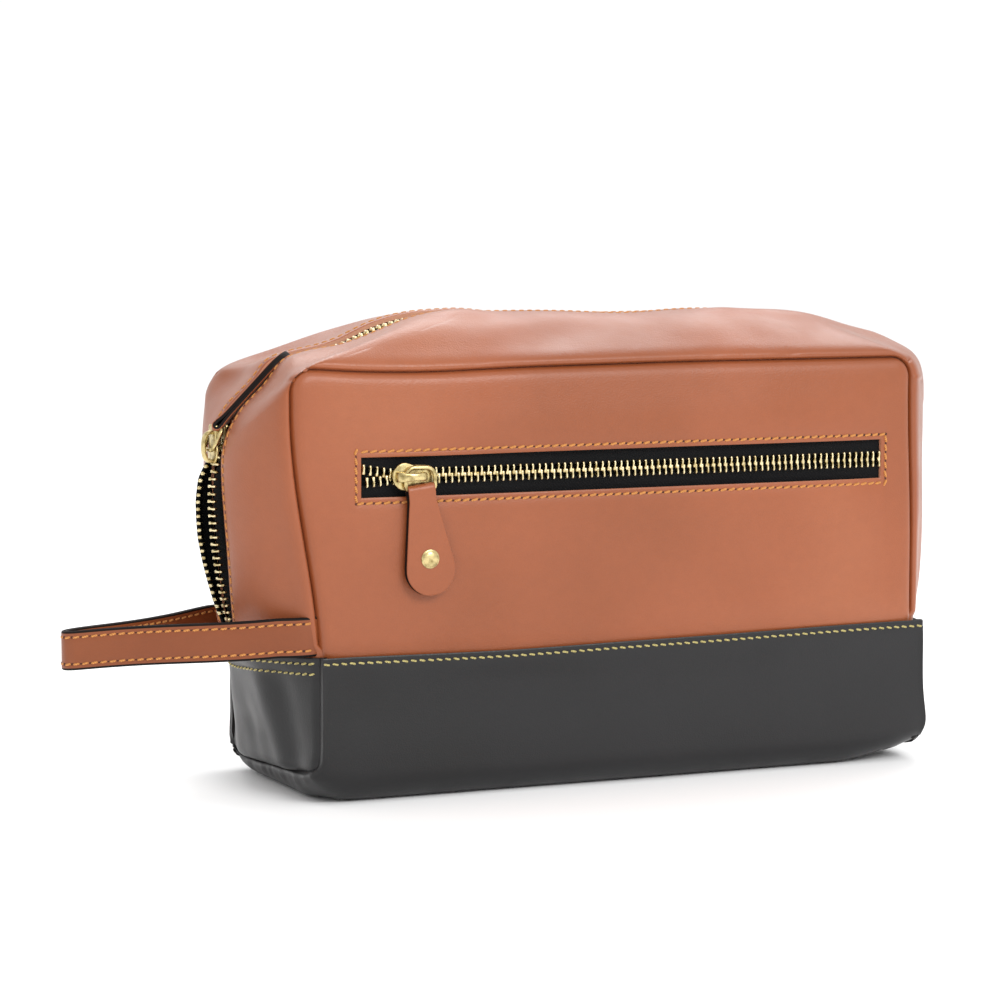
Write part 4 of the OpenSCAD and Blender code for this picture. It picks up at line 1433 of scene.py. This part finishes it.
def build_pull(prefix, slider_at, ring_at, tab_at, ring_span):
    """Slider, ring and tab of one zip, each riding its own body."""
    def metal(name, part, matrix, body, node):
        piece = solid(f"{prefix}_{name}", placed(part, matrix), [BRASS])
        dress(piece, f"{prefix}_{body}", "antique_brass", f"{prefix}_{node}")

    metal("slider_plates", slider_parts(), slider_at, "slider", "slider_body")
    metal("slider_crown", bridge_part(), slider_at, "slider", "slider_bridge")
    metal("wire_ring", ring_part(5.95, *ring_span, 1.7), ring_at, "ring", "pull_ring")
    outer, inner = (grid @ tab_at[:3, :3].T + tab_at[:3, 3] for grid in tab_parts())
    tab = shell(f"{prefix}_tab_leather", outer, 1.4, [TAN, SUEDE, EDGE_PAINT], side=1, inner=inner)
    dress(tab, f"{prefix}_tab", "tan_leather", f"{prefix}_pull_tab")
    metal("tab_rivet", rivet_parts(), tab_at, "tab", "pull_rivet")


def joint_point(name):
    joint = next(j for j in frame["joints"] if j["name"] == name)
    return np.array(joint["pos_m"]) / MM


def turned(matrix, degrees, axis):
    """A placement turned about one of its own axes."""
    return np.asarray(matrix) @ np.array(Matrix.Rotation(math.radians(degrees), 4, axis))


MAIN_SLIDER = node_centre("main_slider_body")
MAIN_SLIDER_RISE = 4.0
MAIN_TAB_ANGLE = 43.5
MAIN_RING_LEAN = 25.0
# the tab at the end has rolled over on its ring, so that its edge faces the front
MAIN_TAB_ROLL = 26.0
MAIN_TAB_SHIFT = np.array([3.8, 0.0, -0.9])
# the pocket's ring and tab hang a little left of the middle of their play, the tab askew
POCKET_SHIFT = np.array([-4.0, 0.0, 0.0])
POCKET_TILT = 7.2


def make_pulls():
    slider_at = axes_matrix(MAIN_SLIDER + [0, 0, MAIN_SLIDER_RISE], (0, 0, 1), (0, -1, 0), (-1, 0, 0))
    ring_at = axes_matrix(joint_point("main_ring_swing"), (0, 1, 0), (0, 0, -1), (-1, 0, 0))
    ring_at = turned(ring_at, MAIN_RING_LEAN, "X")
    a = math.radians(MAIN_TAB_ANGLE)
    along = np.array([math.cos(a), 0, math.sin(a)])
    out = np.array([-math.sin(a), 0, math.cos(a)])
    tab_at = axes_matrix(joint_point("main_tab_swing") + MAIN_TAB_SHIFT, np.cross(-along, out), -along, out)
    build_pull("main", slider_at, ring_at, turned(tab_at, MAIN_TAB_ROLL, "Y"), (-9.0, 0.0))
    slider_at = axes_matrix(POCKET_SLIDER, (1, 0, 0), (0, 0, 1), (0, -1, 0))
    ring_at = axes_matrix(joint_point("pocket_ring_swing") + POCKET_SHIFT, (1, 0, 0), (0, 0, 1), (0, -1, 0))
    tab_at = axes_matrix(joint_point("pocket_tab_swing") + POCKET_SHIFT, (1, 0, 0), (0, 0, 1), (0, -1, 0))
    build_pull("pocket", slider_at, ring_at, turned(tab_at, POCKET_TILT, "Z"), (-5.2, 3.4))


make_pulls()


# ---- wrist strap ---------------------------------------------------------------------------------
STRAP_T = 2.6
STRAP_DROOP = 5.0
BACK_LEG_SAG = 5.0
# the strap's stitches: how far from its middle they run, and how deep they are pressed in
STRAP_STITCH, STRAP_PRESS = 5.1, 0.2


def strap_line():
    """Middle line of the loop in plan, front root to fold to back root."""
    fold_x, fold_r = -209.5, 2.6
    front = [(-124.2, -40.0), (-124.8, -42.0), (-126.4, -43.3), (-129.6, -43.6), (-134.4, -42.6),
             (-150, -36.0), (-165, -28.4), (-180, -20.4), (-195, -12.2), (-204, -7.2), (-208.3, -4.6)]
    fold = [(fold_x - 1.6 * math.cos(math.radians(a)), -fold_r * math.sin(math.radians(a)) * 1.15)
            for a in (55, 30, 0, -30, -55)]
    pts = np.array(front + fold + [(x, -y) for x, y in front[::-1]])
    s = path_length(pts)
    at = np.unique(np.concatenate([np.linspace(0, s[-1], 140), s[-1] / 2 + np.linspace(-7, 7, 21)]))
    line = np.column_stack([np.interp(at, s, pts[:, 0]), np.interp(at, s, pts[:, 1])])
    for _ in range(3):
        line[1:-1] = (line[:-2] + 2 * line[1:-1] + line[2:]) / 4
    return line


def strap_section():
    """Two layers of leather glued back to back, with a pressed line where each row of stitches runs.
    Gives (out, up) pairs, and 1 for each step from pair to pair that is painted edge."""
    h = STRAP_T / 2
    across = (-6.6, -5.7, -STRAP_STITCH, -4.5, -2.5, 0, 2.5, 4.5, STRAP_STITCH, 5.7, 6.6)
    face = [(h - STRAP_PRESS * (abs(w) == STRAP_STITCH), w) for w in across]
    rim = [(h - 0.12, 7.15), (h - 0.5, 7.45), (0.35, 7.5), (0.08, 7.2), (-0.08, 7.2), (-0.35, 7.5),
           (-h + 0.5, 7.45), (-h + 0.12, 7.15)]
    painted = ([0] * (len(face) - 1) + [1] * (len(rim) + 1)) * 2
    return face + rim + [(-a, -b) for a, b in face + rim], painted


def make_strap():
    line = strap_line()
    tangent = unit(np.gradient(line, axis=0))
    out = np.column_stack([tangent[:, 1], -tangent[:, 0]])
    s = path_length(line)
    share = s / s[-1]
    section, painted = strap_section()
    slope = math.tan(math.radians(STRAP_DROOP))
    rings = []
    for p, o, t in zip(line, out, share):
        sag = slope * max(0.0, STRAP_AXIS[0] - p[0]) + 0.5 * math.sin(t * math.pi * 4)
        sag += BACK_LEG_SAG * float(smooth(0.5, 0.86, t))
        twist = 0.03 * math.sin(t * math.tau)
        rings.append([(p[0] + o[0] * (a + b * twist), p[1] + o[1] * (a + b * twist), STRAP_AXIS[2] + b - sag)
                      for a, b in section])
    verts, faces, _ = loft(rings)
    kinds = painted * (len(rings) - 1) + [1, 1]
    strap = make("strap_leather", verts, faces, [STRAP_TAN_SHADED, EDGE_PAINT], kinds, sharp=50)
    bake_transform(strap)
    finish_piece(strap, ("strap_outer", "strap_inner"))
    grid = np.array(rings)
    pressed = STRAP_T / 2 - STRAP_PRESS
    rows = (("upper", 1, 1), ("lower", 1, -1), ("inner_upper", -1, 1), ("inner_lower", -1, -1))
    for name, face, up in rows:
        points = grid[4:-4, section.index((face * pressed, up * STRAP_STITCH))]
        normals = np.column_stack([out[4:-4] * face, np.zeros(len(points))])
        row = stitch_row(f"strap_stitches_{name}", points, normals, TAN_THREAD_SET, slant=8)
        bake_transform(row)
        finish_piece(row, ())


make_strap()


# ---- inside --------------------------------------------------------------------------------------
LINING_T = 0.6
LINING_HALF, LINING_LOW, LINING_TOP = 121.0, 40.0, 158.0


def make_lining(name, sign, half, node, depth):
    """Loose lining behind a panel, with soft puckers."""
    x, z = np.meshgrid(np.linspace(-LINING_HALF, LINING_HALF, 80), np.linspace(LINING_LOW, LINING_TOP, 44))
    y = depth + 0.7 * waves(x, z, 51 if sign < 0 else 53, 40) + 0.35 * waves(x, z, 57, 16)
    inside = np.minimum(np.minimum(x + LINING_HALF, LINING_HALF - x), LINING_TOP - z)
    y = y + 1.0 * smooth(8, 0, inside)
    piece = shell(name, np.stack([x, sign * y, z], axis=-1), LINING_T, [LINING] * 3, side=sign)
    bend(piece, half, "lining_cloth", node)


make_lining("front_lining_cloth", -1, "front_half", "front_lining", 38.6)
make_lining("back_lining_cloth", 1, "back_half", "back_lining", 43.6)


def make_bag():
    """Flat cloth pouch behind the pocket zip."""
    low, high = 66.0, 137.0
    angles = np.arange(64) * math.tau / 64
    x = 3.5 + 116 * squarish(angles, 0.35)[0]
    bulge = squarish(angles, 0.5)[1]
    rings = []
    for z in np.linspace(low, high, 30):
        fill = 1.1 * math.sin(math.pi * np.clip((z - low) / (high - low), 0, 1)) ** 0.5 + 0.12
        y = -41.4 + fill * bulge + 0.15 * np.sin(x * 0.2 + z * 0.1)
        rings.append(np.column_stack([x, y, np.full(64, z)]))
    bend(solid("pocket_bag_cloth", loft(rings), [LINING]), "front_half", "lining_cloth", "pocket_bag")


make_bag()


def make_binding(name, sign, half, node):
    """Folded tape round the raw edges of a long seam, inside."""
    rows = []
    for k, t in stations((24, 16, 40, 16, 24)):
        seam, out = seam_point(k, t, 60.0)
        ring = []
        for i in range(10):
            angle = i * math.tau / 10
            p = seam - out * (4.2 + 1.0 * math.cos(angle))
            ring.append((p[0], sign * (41.6 + 1.7 * math.sin(angle)), p[1]))
        rows.append(ring)
    bend(solid(name, loft(rows), [LINING]), half, "lining_cloth", node)


make_binding("front_seam_binding", -1, "front_half", "front_binding")
make_binding("back_seam_binding", 1, "back_half", "back_binding")


def make_base_lining():
    """Cloth tray inside the black base."""
    wall = [(44.5, 55.0), (44.5, 45), (44.3, 32), (44.0, 20), (42.6, 12), (39, 7.6), (33, 5.6), (22, 5.0),
            (8, 4.9)]
    profile = [(-y, z) for y, z in wall] + [(y, z) for y, z in wall[::-1]]
    xs = np.linspace(-122.5, 126, 90)
    rows = []
    for y, z in profile:
        soft = abs(0.4 * waves(xs, np.full(len(xs), y + z), 61, 30))
        up = 7.0 * smooth(-108, -122, xs) + 7.0 * smooth(112, 126, xs)
        rows.append(np.column_stack([xs, y - np.sign(y) * soft * (z > 10), z + (soft + up) * (z < 14)]))
    piece = shell("base_lining_cloth", np.array(rows), LINING_T, [LINING] * 3, side=1)
    dress(piece, "base", "lining_cloth", "base_lining")


BOARD_T = 1.6


def make_board():
    """Stiffener under the lining: a fibreboard sheet with round corners and soft edges."""
    half_x, half_y, corner_r = 106.0, 34.0, 6.0
    outline = rounded_box(half_x, -half_y, half_y, corner_r, corner_r, 15)
    verts, faces, kinds = plate(outline, -BOARD_T / 2, BOARD_T / 2, 0.3)
    piece = make("base_stiffener", verts + node_centre("base_board"), faces, [BOARD], kinds)
    dress(piece, "base", "board", "base_board")


make_base_lining()
make_board()


# ---- floor, light, camera ------------------------------------------------------------------------
def make_stage():
    mesh = bpy.data.meshes.new("floor")
    s = 30.0
    mesh.from_pydata([(-s, -s, 0), (s, -s, 0), (s, s, 0), (-s, s, 0)], [], [(0, 1, 2, 3)])
    floor = bpy.data.objects.new("floor", mesh)
    bpy.context.scene.collection.objects.link(floor)
    pale = Nodes("pale_floor", Base_Color=(1.0, 1.0, 1.0, 1.0), Roughness=0.7, Specular_IOR_Level=0.1)
    mesh.materials.append(pale.material)


def softbox(name, place, target, size, power):
    data = bpy.data.lights.new(name, "AREA")
    data.shape = "RECTANGLE"
    data.size, data.size_y = size
    data.energy = power
    light = bpy.data.objects.new(name, data)
    light.location = place
    light.rotation_euler = (Vector(target) - Vector(place)).to_track_quat("-Z", "Y").to_euler()
    bpy.context.scene.collection.objects.link(light)


def make_light():
    scene = bpy.context.scene
    world = bpy.data.worlds.new("studio")
    scene.world = world
    world.use_nodes = True
    background = world.node_tree.nodes["Background"]
    background.inputs["Color"].default_value = (1.0, 1.0, 1.0, 1.0)
    background.inputs["Strength"].default_value = 1.03
    softbox("key_softbox", (0.4, -1.8, 1.3), (0, 0, 0.08), (1.1, 0.9), 23)
    softbox("back_softbox", (0.5, 1.0, 1.45), (0, 0, 0.15), (1.6, 0.9), 15)
    scene.view_settings.view_transform = "Standard"


def make_camera():
    data = bpy.data.cameras.new("camera")
    data.sensor_width = 36.0
    data.lens = 117.7
    camera = bpy.data.objects.new("camera", data)
    camera.location = (-0.5549, -1.1889, 0.2286)
    camera.rotation_euler = (math.radians(90 - 5.27), 0, math.radians(-23.77))
    bpy.context.scene.collection.objects.link(camera)
    bpy.context.scene.camera = camera


make_stage()
make_light()
make_camera()
